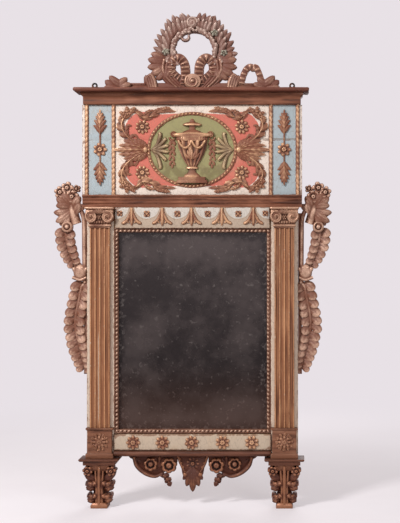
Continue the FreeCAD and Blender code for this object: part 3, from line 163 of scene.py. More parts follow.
class Nodes:
    """A node tree in the making."""

    def __init__(self, tree: bpy.types.NodeTree) -> None:
        """Empties a tree.

        Args:
            tree: the tree of a material or of the world.
        """
        self.tree = tree
        self.tree.nodes.clear()

    def node(self, kind: str, settings: dict | None = None,
             inputs: dict | None = None) -> bpy.types.Node:
        """Adds a node.

        Args:
            kind: the node's type.
            settings: its own settings, put on first.
            inputs: a value, Signal or socket for each input named or numbered.

        Returns:
            The node.
        """
        node = self.tree.nodes.new(kind)
        for key, value in (settings or {}).items():
            setattr(node, key, value)
        for key, value in (inputs or {}).items():
            socket = node.inputs[key]
            if isinstance(value, Signal):
                self.tree.links.new(value.socket, socket)
            elif isinstance(value, bpy.types.NodeSocket):
                self.tree.links.new(value, socket)
            else:
                socket.default_value = value
        return node


class Paint(Nodes):
    """A material in the making, with the few patterns that this mirror's finishes need."""

    def __init__(self, name: str) -> None:
        """Starts an empty material.

        Args:
            name: the material's name.
        """
        self.material = bpy.data.materials.new(name)
        self.material.use_nodes = True
        super().__init__(self.material.node_tree)
        self.place = self.node("ShaderNodeTexCoord").outputs["Object"]
        axes = self.node("ShaderNodeSeparateXYZ", inputs={0: self.place})
        self.x, self.y, self.z = [Signal(self, axes.outputs[k]) * (1 / MM) for k in range(3)]

    def noise(self, scale: float, detail: float = 4.0, rough: float = 0.55,
              stretch: Spot = (1, 1, 1), warp: float = 0.0) -> Signal:
        """Cloudy noise in the object's own space.

        Args:
            scale: spots for each metre.
            detail: how many finer layers lie in it.
            rough: how strong the finer layers are.
            stretch: a factor on the scale for each axis.
            warp: distortion of the noise by itself.

        Returns:
            The noise, around 0.5.
        """
        place = self.node("ShaderNodeMapping", inputs={"Vector": self.place, "Scale": stretch})
        inputs = {"Vector": place.outputs[0], "Scale": scale, "Detail": detail,
                  "Roughness": rough, "Distortion": warp}
        return Signal(self, self.node("ShaderNodeTexNoise", inputs=inputs).outputs[0])

    def cracks(self, scale: float, stretch: Spot = (1, 1, 1)) -> Signal:
        """Distance to the lines of a crackled surface.

        Args:
            scale: cells for each metre.
            stretch: a factor on the scale for each axis.

        Returns:
            The distance, 0 on a crack.
        """
        place = self.node("ShaderNodeMapping", inputs={"Vector": self.place, "Scale": stretch})
        bend = self.node("ShaderNodeTexNoise", inputs={"Vector": place.outputs[0],
                                                       "Scale": scale * 0.7, "Detail": 3.0})
        moved = self.node("ShaderNodeVectorMath", {"operation": "MULTIPLY_ADD"},
                          {0: bend.outputs["Color"], 1: (0.6 / scale,) * 3,
                           2: place.outputs[0]})
        cells = self.node("ShaderNodeTexVoronoi", {"feature": "DISTANCE_TO_EDGE"},
                          {"Vector": moved.outputs[0], "Scale": scale})
        return Signal(self, cells.outputs["Distance"])

    def value(self, name: str) -> Signal:
        """A number kept on the mesh, such as how far a point stands out."""
        node = self.node("ShaderNodeAttribute", {"attribute_name": name})
        return Signal(self, node.outputs["Fac"])

    def slope(self, axis: int) -> Signal:
        """How squarely the surface faces along an axis.

        Args:
            axis: 1 for the back, 2 for the top.

        Returns:
            1 where it faces that way, 0 beside it and -1 where it faces away.
        """
        normal = self.node("ShaderNodeNewGeometry").outputs["True Normal"]
        axes = self.node("ShaderNodeSeparateXYZ", inputs={0: normal})
        return Signal(self, axes.outputs[axis])

    def blend(self, under: object, over: object, share: Amount) -> object:
        """Lays one colour over another.

        Args:
            under: the colour, or its socket, below.
            over: the one above.
            share: how much of the upper one shows.

        Returns:
            The socket of the mixed colour.
        """
        node = self.node("ShaderNodeMix", {"data_type": "RGBA", "clamp_factor": True},
                         {0: share, 6: under, 7: over})
        return node.outputs[2]

    def finish(self, colour: object, rough: Amount, height: "Signal | None" = None,
               metal: Amount = 0.0, coat: float = 0.0, deep: float = 0.4,
               grey: float = 0.3, glow: object = None) -> bpy.types.Material:
        """Closes the material with its surface shader.

        Args:
            colour: the base colour, or its socket.
            rough: roughness.
            height: a height in millimetres that raises the surface.
            metal: how metallic the surface is.
            coat: weight of a clear coat.
            deep: strength of the raised detail.
            grey: specular level.
            glow: a colour that is added where the camera sees the surface.

        Returns:
            The finished material.
        """
        inputs = {"Base Color": colour, "Roughness": rough, "Metallic": metal,
                  "Coat Weight": coat, "Coat Roughness": 0.25, "Specular IOR Level": grey}
        if height is not None:
            bump = self.node("ShaderNodeBump", inputs={"Height": height, "Strength": deep,
                                                       "Distance": MM})
            inputs["Normal"] = bump.outputs[0]
        if glow is not None:
            seen = self.node("ShaderNodeLightPath").outputs["Is Camera Ray"]
            inputs["Emission Color"] = self.blend((0, 0, 0, 1), glow, Signal(self, seen))
            inputs["Emission Strength"] = 1.0
        surface = self.node("ShaderNodeBsdfPrincipled", inputs=inputs)
        self.node("ShaderNodeOutputMaterial", inputs={"Surface": surface.outputs[0]})
        return self.material


@dataclass(frozen=True)
class Gilding:
    """Old gilding on carved wood, rubbed to its red clay on the body, with painted shade and grime
    dark in the hollows and painted highlights on the crests.
    """
    name: str
    body: Colour = tone(152, 102, 76)
    clay: Colour = tone(132, 78, 56)
    # bright: gold of the crests, partly a painted highlight
    bright: Colour = tone(220, 172, 132)
    # hollow: painted shade, with grime, for the hollows
    hollow: Colour = tone(70, 40, 28)
    chalk: Colour = tone(216, 198, 182)
    shine: float = 0.35

    def mix(self) -> bpy.types.Material:
        """Mixes the finish.

        Returns:
            Its material.
        """
        paint = Paint(self.name)
        crest, patch, grain = paint.value("crest"), paint.noise(11, 5), paint.noise(330, 4)
        wear_and_highlight = crest + (patch - 0.5) * 0.45 + (grain - 0.5) * 0.30
        colour = paint.blend(self.clay, self.body, patch.above(0.38, 0.62))
        # Painted shade with grime: dark where the crest is low, in hollows and deep parts.
        colour = paint.blend(self.hollow, colour, (crest + (grain - 0.5) * 0.2).above(0.20, 0.50))
        # Gold where the crest is high: worn gilding and a painted highlight.
        gold = wear_and_highlight.above(0.53, 0.75)
        colour = paint.blend(colour, self.bright, gold * 0.9)
        chip = (paint.noise(140, 3) + (patch - 0.5) * 0.25).above(0.71, 0.75)
        colour = paint.blend(colour, self.chalk, chip * crest.above(0.35, 0.5) * 0.8)
        height = grain * 0.25 + paint.noise(70, 3) * 0.5 - chip * 0.3
        return paint.finish(colour, 0.62 - gold * 0.24, height, gold * self.shine, deep=0.8,
                            grey=0.45)


@dataclass(frozen=True)
class RubbedTimber:
    """Brown stained and bronzed wood with a long grain, worn bright along its edges, partly as a
    painted highlight, with painted shade on its upward faces and, where it has a groove share, in
    its flutes.
    """
    name: str
    along: Spot
    body: Colour = tone(124, 72, 48)
    light: Colour = tone(160, 104, 78)
    dark: Colour = tone(78, 42, 28)
    chalk: Colour = tone(206, 186, 166)
    streak: float = 60.0
    # groove: share of painted shade in the bottoms of the flutes
    groove: float = 0.0
    split: Spot | None = None

    def mix(self) -> bpy.types.Material:
        """Mixes the finish.

        Returns:
            Its material.
        """
        paint = Paint(self.name)
        rim, patch = paint.value("rim"), paint.noise(7, 4)
        fibre = paint.noise(self.streak, 6, 0.6, self.along, 0.3)
        line = paint.noise(self.streak * 5, 4, 0.6, self.along)
        speck = paint.noise(240, 3)
        colour = paint.blend(self.dark, self.body, fibre.above(0.30, 0.52))
        lit = (fibre + (patch - 0.5) * 0.7).above(0.48, 0.72)
        colour = paint.blend(colour, self.light, lit * 0.85)
        colour = paint.blend(colour, self.dark, line.above(0.60, 0.72) * 0.5)
        # Edges worn bright, partly a painted highlight.
        edge = (rim + (speck - 0.5) * 4.0 + (patch - 0.5) * 3.0).above(1.2, 0.0)
        colour = paint.blend(colour, self.light, edge * 0.7)
        chip = paint.noise(90, 4).above(0.36, 0.32) * rim.above(1.6, 0.6)
        colour = paint.blend(colour, self.chalk, chip * 0.7)
        colour = paint.blend(colour, self.dark, speck.above(0.70, 0.76) * 0.6)
        # Painted shade in the bottoms of the flutes, where the rim value is high.
        colour = paint.blend(colour, self.dark, rim.above(2.5, 6.5) * self.groove)
        # Painted shade: faces that look up are darkened.
        colour = paint.blend(colour, self.dark, paint.slope(2).above(0.7, 0.9) * 0.85)
        if self.split:
            along, low, high = self.split
            open_crack = abs(paint.x - along + (speck - 0.5) * 5.0).above(2.0, 0.9)
            open_crack = open_crack * paint.z.above(low, low + 40) * paint.z.above(high, high - 60)
            colour = paint.blend(colour, self.chalk, open_crack * 0.9)
        height = line * 0.35 + fibre * 0.3 - chip * 0.3
        return paint.finish(colour, 0.58 - lit * 0.14, height, deep=0.5, grey=0.4)


@dataclass(frozen=True)
class PaintedGround:
    """Old lacquer colour over chalk ground, brushed, stained, crackled and chipped."""
    name: str
    body: Colour = tone(222, 204, 188)
    stain: Colour = tone(206, 172, 140)
    grime: Colour = tone(134, 116, 100)
    bare: Colour = tone(128, 82, 58)
    back: Colour = tone(146, 112, 78)

    def lacquer(self, paint: Paint) -> object:
        """The colour of the paint before its age shows.

        Args:
            paint: the material being made.

        Returns:
            The colour or its socket.
        """
        return self.body

    def open_edge(self, paint: Paint) -> Amount:
        """Where the paint is worn at its edges: everywhere on a plain board."""
        return 1.0

    def mix(self) -> bpy.types.Material:
        """Mixes the finish.

        Returns:
            Its material.
        """
        paint = Paint(self.name)
        rim, cloud = paint.value("rim"), paint.noise(9, 6, 0.6)
        spot, fine = paint.noise(48, 5, 0.6), paint.noise(300, 3)
        crack = paint.cracks(75, (1, 1, 0.45))
        colour = paint.blend(self.lacquer(paint), self.stain, cloud.above(0.52, 0.74) * 0.32)
        colour = paint.blend(colour, self.grime, spot.above(0.60, 0.76) * 0.34)
        colour = paint.blend(colour, self.grime, crack.above(0.035, 0.0) * 0.45)
        edge = (rim + (spot - 0.5) * 16.0).above(2.6, 0.6) * self.open_edge(paint)
        colour = paint.blend(colour, self.bare, edge * 0.7)
        chip = (spot + (fine - 0.5) * 0.5 + (cloud - 0.5) * 0.2).above(0.76, 0.79)
        colour = paint.blend(colour, self.bare, chip * 0.85)
        colour = paint.blend(self.back, colour, paint.slope(1).above(0.2, -0.1))
        height = fine * 0.12 + spot * 0.3 - chip * 0.4 - crack.above(0.03, 0.0) * 0.15
        return paint.finish(colour, 0.60 + chip * 0.2, height, deep=0.4, grey=0.25)


@dataclass(frozen=True)
class PanelPaint(PaintedGround):
    """The upper panel's lacquer: cream, two blue fields, coral corners and a green oval."""
    blue: Colour = tone(176, 186, 190)
    coral: Colour = tone(214, 118, 102)
    green: Colour = tone(160, 152, 106)
    mould: Colour = tone(124, 112, 76)
    middle: float = 1437.0
    oval: Point = (178.0, 149.0)
    seam: float = 1481.0
    split: float = 262.0

    def lacquer(self, paint: Paint) -> object:
        """The painted fields by their place on the panel.

        Args:
            paint: the material being made.

        Returns:
            The colour's socket.
        """
        wave = (paint.noise(40, 3) - 0.5) * 5.0
        across, above = abs(paint.x) + wave, abs(paint.z - self.middle) + wave
        blue = across.above(324.0, 326.0) * across.above(417.0, 415.0)
        around = ((across / self.oval[0]) ** 2.0 + (above / self.oval[1]) ** 2.0) ** 0.5
        lobe = (((across - 196.0) / 74.0) ** 2.0 + ((above - 78.0) / 74.0) ** 2.0).above(1.02, 0.98)
        field_edge = across.above(204.0, 202.0) * (above + across * 0.05).above(150.0, 148.0)
        coral = lobe.most(field_edge * above.above(8.0, 12.0))
        tint = paint.noise(26, 4)
        colour = paint.blend(self.body, self.blue, blue)
        colour = paint.blend(colour, self.coral, coral)
        low = above.above(30.0, 90.0) * (self.middle - paint.z).above(0.0, 40.0)
        stained = (tint + low * 0.16).above(0.52, 0.72)
        green = paint.blend(self.green, self.mould, stained * 0.75)
        colour = paint.blend(colour, green, around.above(1.005, 0.995))
        crack = abs(paint.z - self.seam).above(2.4, 1.2) * paint.x.above(self.split, self.split + 8)
        return paint.blend(colour, self.grime, crack * 0.9)

    def open_edge(self, paint: Paint) -> Amount:
        """The joint between the boards is filled and painted over but for its right end."""
        return 1 - abs(paint.z - self.seam).above(9.0, 7.0) * paint.x.above(self.split, 250.0)


@dataclass(frozen=True)
class LunettePaint(PaintedGround):
    """The top frieze's lacquer, with a paler half disc between every two drops."""
    pale: Colour = tone(214, 204, 194)
    start: float = -244.0
    pitch: float = 122.5
    level: float = 1210.0
    radius: float = 52.0

    def lacquer(self, paint: Paint) -> object:
        """The frieze with its half discs.

        Args:
            paint: the material being made.

        Returns:
            The colour's socket.
        """
        across = ((paint.x - self.start) / self.pitch).combine("FRACT") * self.pitch
        reach = ((across - self.pitch / 2) ** 2.0 + (paint.z - self.level) ** 2.0) ** 0.5
        reach = reach + (paint.noise(30, 3) - 0.5) * 6.0
        colour = paint.blend(self.body, self.stain, abs(reach - self.radius).above(3.5, 1.0) * 0.5)
        return paint.blend(colour, self.pale, reach.above(self.radius, self.radius - 4.0))


@dataclass(frozen=True)
class AgedGlass:
    """Old silvered glass gone dark, clouded at its edges and specked with grey."""
    name: str
    body: Colour = tone(84, 74, 72)
    dark: Colour = tone(46, 38, 38)
    bloom: Colour = tone(112, 104, 100)
    brown: Colour = tone(104, 70, 54)
    grey: Colour = tone(170, 162, 150)
    low: Point = (-300.0, 310.0)
    high: Point = (300.0, 1106.0)

    def mix(self) -> bpy.types.Material:
        """Mixes the finish.

        Returns:
            Its material.
        """
        paint = Paint(self.name)
        side = (paint.x - self.low[0]).least(self.high[0] - paint.x)
        rise = (paint.z - self.low[1]).least(self.high[1] - paint.z)
        rim = side.least(rise)
        cloud, spot, dust = paint.noise(3.2, 8, 0.72), paint.noise(60, 5, 0.7), paint.noise(420, 2)
        clear = (cloud + rise.above(200.0, 20.0) * 0.12).above(0.40, 0.66)
        colour = paint.blend(self.dark, self.body, clear)
        edge = (rim + (cloud - 0.5) * 120.0 + (spot - 0.5) * 60.0).above(42.0, 6.0)
        colour = paint.blend(colour, self.dark, edge * 0.8)
        foxing = (spot + edge * 0.10).above(0.60, 0.68)
        colour = paint.blend(colour, self.bloom, foxing * 0.45)
        colour = paint.blend(colour, self.brown, paint.z.above(600.0, 320.0) * 0.4)
        speck = (dust + (cloud - 0.5) * 0.1).above(0.77, 0.83)
        colour = paint.blend(colour, self.grey, speck * 0.6)
        rough = cloud * 0.25 + foxing * 0.3 + speck * 0.3 + 0.12
        return paint.finish(colour, rough, spot * 0.1, 0.55, coat=0.35, deep=0.15, grey=0.4)


@dataclass(frozen=True)
class BareTimber:
    """Unfinished softwood of the back, planed by hand, dusty and darkened."""
    name: str
    along: Spot
    body: Colour = tone(158, 120, 80)
    ring: Colour = tone(112, 76, 46)
    dust: Colour = tone(96, 84, 72)

    def mix(self) -> bpy.types.Material:
        """Mixes the finish.

        Returns:
            Its material.
        """
        paint = Paint(self.name)
        ring = paint.noise(46, 3, 0.5, self.along, 1.2)
        fibre, cloud = paint.noise(320, 4, 0.6, self.along), paint.noise(8, 4)
        band = (ring * 9.0).combine("FRACT").above(0.35, 0.95)
        colour = paint.blend(self.body, self.ring, band * 0.7)
        colour = paint.blend(colour, self.ring, fibre.above(0.55, 0.75) * 0.5)
        colour = paint.blend(colour, self.dust, cloud.above(0.48, 0.75) * 0.6)
        return paint.finish(colour, 0.8, fibre * 0.3 + band * 0.2, deep=0.5, grey=0.2)


@dataclass(frozen=True)
class ForgedIron:
    """Black iron from the forge, with brown rust."""
    name: str
    body: Colour = tone(52, 48, 46)
    rust: Colour = tone(112, 66, 40)

    def mix(self) -> bpy.types.Material:
        """Mixes the finish.

        Returns:
            Its material.
        """
        paint = Paint(self.name)
        scale, pit = paint.noise(60, 5), paint.noise(260, 3)
        colour = paint.blend(self.body, self.rust, scale.above(0.48, 0.62))
        return paint.finish(colour, 0.7, scale * 0.5 + pit * 0.3, 0.4, deep=0.7)


class Finish(Enum):
    """The finishes of the mirror, each mixed once."""
    CARVING = Gilding("gilded_carving")
    CREST = Gilding("gilded_crest", tone(138, 103, 92), tone(124, 82, 69), tone(196, 168, 154),
                    shine=0.2)
    BOW = Gilding("gilded_bow", tone(126, 80, 64), tone(114, 65, 50), tone(184, 142, 118),
                  shine=0.3)
    KNOT = Gilding("chalky_knots", tone(134, 126, 110), tone(104, 92, 76), tone(196, 190, 172),
                   shine=0.0)
    PALMS = Gilding("bronzed_palms", tone(130, 104, 80), tone(112, 82, 60), tone(200, 170, 128),
                    shine=0.2)
    GARLAND = Gilding("gilded_garland", tone(144, 101, 84), tone(128, 80, 60),
                      tone(222, 180, 154), tone(58, 33, 25), shine=0.25)
    CAPITAL = Gilding("gilded_capital", tone(142, 98, 76), tone(116, 70, 50),
                      tone(202, 158, 130), tone(58, 32, 20))
    # Painted shade: a darker copy of the gilding, for the apron in the shade under the sill, also
    # used on the feet.
    APRON = Gilding("gilding_painted_shade", tone(102, 55, 37), tone(84, 41, 26), tone(164, 110, 80),
                    tone(38, 17, 10))
    BEADS = Gilding("gilded_beads", tone(136, 92, 72), tone(110, 68, 50), tone(200, 162, 138),
                    tone(52, 31, 23))
    LACE = Gilding("gilded_lace", tone(146, 98, 72), tone(126, 78, 54), tone(196, 146, 114),
                   tone(72, 38, 24))
    CORNICE = RubbedTimber("stained_cornice", ACROSS)
    CROWN = RubbedTimber("stained_crown", ACROSS, tone(110, 58, 41), tone(138, 83, 62),
                         tone(76, 36, 25))
    MOULDING = RubbedTimber("rubbed_moulding", ACROSS, tone(110, 64, 44), tone(138, 92, 68),
                            tone(70, 36, 22))
    PEDESTAL = RubbedTimber("stained_pedestal", ACROSS, tone(132, 84, 60), tone(158, 110, 84),
                            tone(88, 50, 32))
    # The pilaster's groove share paints shade in the bottoms of its flutes.
    PILASTER = RubbedTimber("gilded_pilaster", (1.0, 1.0, 0.04), tone(166, 108, 72),
                            tone(212, 156, 114), tone(100, 58, 36), streak=90.0, groove=0.38,
                            split=(-377.0, 330.0, 720.0))
    CREAM = PaintedGround("cream_lacquer", tone(226, 204, 184))
    FRIEZE = LunettePaint("cream_frieze", tone(194, 172, 152), tone(170, 140, 116))
    SILL = PaintedGround("cream_sill", tone(206, 185, 163), tone(214, 178, 138))
    PANEL = PanelPaint("panel_lacquer", tone(240, 222, 208))
    GLASS = AgedGlass("aged_glass")
    PINE_ACROSS = BareTimber("pine_across", ACROSS)
    PINE_UPRIGHT = BareTimber("pine_upright", UPRIGHT)
    IRON = ForgedIron("forged_iron")

    def material(self) -> bpy.types.Material:
        """The finish's material, mixed the first time it is asked for."""
        made = bpy.data.materials.get(self.value.name)
        return made or self.value.mix()


class Slot(Enum):
    """The material slot names of the pieces that are carved or redrawn here."""
    GROUND = "painted_ground"
    GILT = "worn_gilding"
    STAINED = "stained_moulding"


# ------------ lines that carving follows

def smooth_line(points: Sequence[Point], count: int) -> list[tuple[Point, Point]]:
    """Walks evenly along a smooth line through the points.

    Args:
        points: the points, two or more.
        count: how many steps to take.

    Returns:
        Each step's place and the unit direction of the line there.
    """
    ends = [points[0], *points, points[-1]]
    dense: list[Point] = []
    for here in range(1, len(ends) - 2):
        a, b, c, d = ends[here - 1:here + 3]
        for part in range(12):
            t = part / 12
            weights = (-t + 2 * t * t - t ** 3, 2 - 5 * t * t + 3 * t ** 3,
                       t + 4 * t * t - 3 * t ** 3, t ** 3 - t * t)
            dense.append(tuple(sum(w * p[k] for w, p in zip(weights, (a, b, c, d))) / 2
                               for k in (0, 1)))
    dense.append(tuple(points[-1]))
    line = np.array(dense, float)
    reach = np.concatenate([[0], np.cumsum(np.hypot(*np.diff(line, axis=0).T))])
    steps = np.linspace(0, reach[-1], count + 1)
    places = np.column_stack([np.interp(steps, reach, line[:, k]) for k in (0, 1)])
    ways = np.gradient(places, axis=0)
    ways /= np.maximum(np.hypot(ways[:, 0], ways[:, 1])[:, None], 1e-9)
    return [(tuple(p), tuple(w)) for p, w in zip(places, ways)]


def arc(centre: Point, radii: Point, start: float, end: float, steps: int = 8) -> list[Point]:
    """Points along part of an ellipse.

    Args:
        centre: its centre.
        radii: half its width and half its height.
        start: the first angle, in degrees from +X.
        end: the last angle.
        steps: how many steps to take.

    Returns:
        The points.
    """
    angles = [radians(start + (end - start) * k / steps) for k in range(steps + 1)]
    return [(centre[0] + radii[0] * cos(a), centre[1] + radii[1] * sin(a))
            for a in angles]


def ray(start: Point, angle: float, length: float, bend: float = 0.0) -> list[Point]:
    """A line from a point at an angle, bowed to one side.

    Args:
        start: where it starts.
        angle: its direction, in degrees from +X.
        length: how long it is.
        bend: how far its middle bows out, as a share of the length.

    Returns:
        Three points.
    """
    way = (cos(radians(angle)), sin(radians(angle)))
    side = (-way[1], way[0])
    return [start,
            (start[0] + length * (way[0] / 2 + side[0] * bend),
             start[1] + length * (way[1] / 2 + side[1] * bend)),
            (start[0] + length * way[0], start[1] + length * way[1])]


def cupped(high: float, span: float = 1.0) -> Lift:
    """A lift that swells to a height and sinks again, all of it within a span of 1."""
    return lambda t: high * sin(pi * t * span)


def curled(high: float) -> Lift:
    """A lift that grows evenly to a height at the tip."""
    return lambda t: high * t


def quads(first: int, rows: int, wide: int, ring: bool, hoop: bool = False) -> list[tuple]:
    """Joins rows of points with four-sided faces.

    Args:
        first: number of the first point.
        rows: how many rows there are.
        wide: how many points each row has.
        ring: whether each row closes on itself.
        hoop: whether the last row joins the first.

    Returns:
        The faces.
    """
    faces, total = [], rows * wide
    for row in range(rows if hoop else rows - 1):
        for col in range(wide if ring else wide - 1):
            a, b = row * wide + col, row * wide + (col + 1) % wide
            faces.append(tuple(first + k % total for k in (a, b, b + wide, a + wide)))
    return faces


# ------------ the carver's forms

@dataclass(frozen=True)
class Cut:
    """How one kind of leaf or strand is cut."""
    lobes: int = 0
    notch: float = 0.0
    teeth: int = 0
    sweep: float = 0.5
    crown: float = 0.45
    rib: float = 0.12
    vein: float = 0.0
    root: float = 0.5
    tip: float = 0.0
    blunt: float = 2.0
    belly: float = 0.45
    rows: int = 16
    cols: int = 8

    def half(self, along: float) -> float:
        """The leaf's half width, as a share of its widest.

        Args:
            along: 0 at the root, 1 at the tip.

        Returns:
            The share.
        """
        if along < self.belly:
            return self.root + (1 - self.root) * sin(pi / 2 * along / self.belly)
        rest = (along - self.belly) / (1 - self.belly)
        return self.tip + (1 - self.tip) * (1 - rest ** self.blunt) ** 0.6


class Leaf(Enum):
    """The leaves and strands this mirror's carver used."""
    ACANTHUS = Cut(lobes=6, notch=0.46, teeth=3, sweep=0.9, crown=0.26, rib=0.14, vein=0.26,
                   root=0.5, blunt=1.6, belly=0.5, rows=54, cols=12)
    OAK = Cut(lobes=4, notch=0.42, teeth=2, sweep=0.8, crown=0.3, rib=0.14, vein=0.2, root=0.4,
              blunt=1.8, belly=0.5, rows=32, cols=10)
    SERRATE = Cut(lobes=5, notch=0.24, sweep=0.8, crown=0.34, rib=0.2, vein=0.16, root=0.55,
                  blunt=1.5, belly=0.4, rows=26, cols=8)
    LAUREL = Cut(crown=0.42, rib=0.2, root=0.4, blunt=1.35, belly=0.4, rows=14, cols=8)
    PETAL = Cut(crown=0.36, rib=-0.12, root=0.5, blunt=2.0, belly=0.5, rows=14, cols=10)
    HUSK = Cut(crown=0.34, rib=-0.14, root=0.45, blunt=2.6, belly=0.55, rows=12, cols=10)
    PALM = Cut(crown=0.8, rib=-0.22, root=0.34, blunt=3.2, belly=0.8, rows=18, cols=8)
    RIBBON = Cut(crown=0.22, rib=0.0, root=1.0, tip=1.0, rows=44, cols=10)
    HORN = Cut(crown=0.8, rib=0.0, root=0.8, tip=0.3, belly=0.3, rows=24, cols=8)
    STEM = Cut(crown=0.9, rib=0.0, root=1.0, tip=0.7, rows=16, cols=6)


class Carver:
    """Gathers closed carved forms over a flat ground and makes one mesh of them, moved by x."""

    def __init__(self, ground: float, seed: int = 3) -> None:
        """Starts an empty carving.

        Args:
            ground: y of the surface that the carving is glued to.
            seed: seed of its small irregularities.
        """
        self.ground, self.chance, self.x = ground, random.Random(seed), 0.0
        self.points: list[Spot] = []
        self.faces: list[tuple] = []

    def solid(self, rows: list[list[Spot]], loop: bool, lows: Sequence[float] = ()) -> None:
        """Adds a closed form from rows of points on its front.

        Args:
            rows: rows of (x, z, height), all of one length.
            loop: whether each row closes on itself, as round forms do.
            lows: for an open form, the height of each row's back, or none for the ground.
        """
        first, wide, strips = len(self.points), len(rows[0]), len(rows) - 1
        self.points += [point for row in rows for point in row]
        self.faces += quads(first, len(rows), wide, loop)
        start = tuple(reversed(range(first, first + wide)))
        end = tuple(range(first + strips * wide, first + len(rows) * wide))
        if loop:
            self.faces += [start, end]
            return
        back = len(self.points)
        for row, low in zip(rows, lows or [0.0] * len(rows)):
            self.points += [row[0][:2] + (low,), row[-1][:2] + (low,)]
        for strip in range(strips):
            left, low = first + strip * wide, back + 2 * strip
            right = left + wide - 1
            self.faces += [(left, left + wide, low + 2, low),
                           (low + 1, low + 3, right + wide, right),
                           (low, low + 2, low + 3, low + 1)]
        last = back + 2 * strips
        self.faces += [(back, back + 1) + start, end + (last + 1, last)]

    def blade(self, line: Sequence[Point], half: float, kind: Leaf, edge: float = 4.0,
              lift: Lift | None = None, thick: float | None = None,
              pleats: int = 0, bias: float = 0.0) -> None:
        """Adds a leaf, strand or ribbon along a line.

        Args:
            line: points that its middle follows, from root to tip.
            half: half its greatest width.
            kind: how it is cut.
            edge: height of its edges over the ground.
            lift: added height along it, for a leaf that curls forward.
            thick: its thickness where its back stands free of the ground.
            pleats: folds across a ribbon.
            bias: share by which its left side is wider and its right side narrower.
        """
        cut = kind.value
        rows, lows = [], []
        gap = 1.0 / max(cut.lobes, 1)
        walk = smooth_line(line, cut.rows)
        length = sum(dist(a[0], b[0]) for a, b in zip(walk, walk[1:]))
        for step, ((x, z), (wx, wz)) in enumerate(walk):
            along = step / cut.rows
            wide, beat = max(half * cut.half(along), 0.5), 1.0
            if cut.lobes:
                beat = abs(sin(pi * cut.lobes * min(along, 0.999))) ** 0.6
                tooth = abs(sin(pi * cut.lobes * cut.teeth * along)) if cut.teeth else 1
                wide *= (1 - cut.notch * (1 - beat)) * (1 - 0.14 * (1 - tooth))
            raised = edge + (lift(along) if lift else 0.0)
            fold = cos(2 * pi * pleats * along) if pleats else 0.0
            fold = copysign(abs(fold) ** 0.5, fold) * 0.19 * wide
            row = []
            for col in range(cut.cols + 1):
                s = -1 + 2 * col / cut.cols
                side = s * (1 + copysign(bias, s))
                lean = cut.sweep * gap * length * 0.5 * abs(s) ** 1.5 if cut.lobes else 0.0
                height = raised + cut.crown * wide * (1 - abs(s) ** 2.2)
                height += cut.rib * half * exp(-(s / 0.16) ** 2) * (1 - along)
                height -= cut.vein * wide * (1 - beat) * 4 * abs(s) * (1 - abs(s) * 0.7)
                height = max(height + fold * (1 - abs(s) ** 4), raised * 0.5)
                row.append((x - wz * wide * side + wx * lean, z + wx * wide * side + wz * lean,
                            height))
            rows.append(row)
            lows.append(0.0 if thick is None else raised - thick)
        self.solid(rows, False, lows)

    def boss(self, centre: Point, radii: Point, profile: Sequence[tuple[float, float]],
             sides: int = 24, lobes: int = 0, depth: float = 0.0, base: float = 0.0,
             turn: float = 0.0) -> None:
        """Adds a round form from its profile, with lobed edges for a flower.

        Args:
            centre: its centre.
            radii: half its width and half its height.
            profile: from rim to middle, pairs of a share of the radius and a height.
            sides: how many steps go round it.
            lobes: petals round it.
            depth: how far the notches between petals cut in, as a share of the radius.
            base: height at which its back lies.
            turn: the first petal's angle, in degrees.
        """
        rows = []
        for ring, (share, height) in enumerate([(profile[0][0], base), *profile]):
            row = []
            for k in range(sides):
                angle = 2 * pi * k / sides
                beat = abs(cos(lobes * angle / 2)) ** 0.7 if lobes else 1.0
                near = share * (1 - depth * (1 - beat) * min(1.0, share * 1.4))
                sunk = height - (1 - beat) * depth * 14.0 * share * (1 if ring > 1 else 0)
                shown = angle + radians(turn)
                row.append((centre[0] + radii[0] * near * cos(shown),
                            centre[1] + radii[1] * near * sin(shown),
                            max(sunk, base) if ring else base))
            rows.append(row)
        self.solid(rows, True)

    def flower(self, centre: Point, radius: float, petals: int, edge: float, rise: float,
               hub: float = 0.3, turn: float = 0.0, base: float = 0.0) -> None:
        """Adds an open flower with cupped petals, a ring round its heart and a raised heart.

        Args:
            centre: its centre.
            radius: its radius.
            petals: how many petals.
            edge: height of the petals' rim.
            rise: how much higher the petals and heart stand.
            hub: the heart's radius, as a share of the flower's.
            turn: the first petal's angle, in degrees.
            base: height at which its back lies.
        """
        profile = [(1.0, edge), (0.93, edge + rise * 0.35), (0.78, edge + rise * 0.6),
                   (0.58, edge + rise * 0.45), (hub + 0.12, edge + rise * 0.15),
                   (hub + 0.04, edge + rise * 0.2), (hub, edge + rise * 0.75),
                   (hub * 0.75, edge + rise), (hub * 0.4, edge + rise * 1.02),
                   (hub * 0.25, edge + rise * 0.8), (hub * 0.05, edge + rise * 0.75)]
        self.boss(centre, (radius, radius), profile, petals * 6, petals, 0.30, base, turn)

    def bead(self, centre: Point, long: float, wide: float, height: float, angle: float = 0.0,
             sides: int = 8) -> None:
        """Adds one bead, a low dome drawn out along an angle.

        Args:
            centre: its centre.
            long: half its length.
            wide: half its width.
            height: how high it stands.
            angle: the direction of its length, in degrees.
            sides: how many steps go round it.
        """
        way = (cos(radians(angle)), sin(radians(angle)))
        rows = []
        for share, level in ((1.0, 0.0), (0.96, 0.4), (0.72, 0.8), (0.3, 1.0)):
            row = []
            for k in range(sides):
                turn = 2 * pi * k / sides
                u, v = share * long * cos(turn), share * wide * sin(turn)
                row.append((centre[0] + u * way[0] - v * way[1],
                            centre[1] + u * way[1] + v * way[0], level * height))
            rows.append(row)
        self.solid(rows, True)

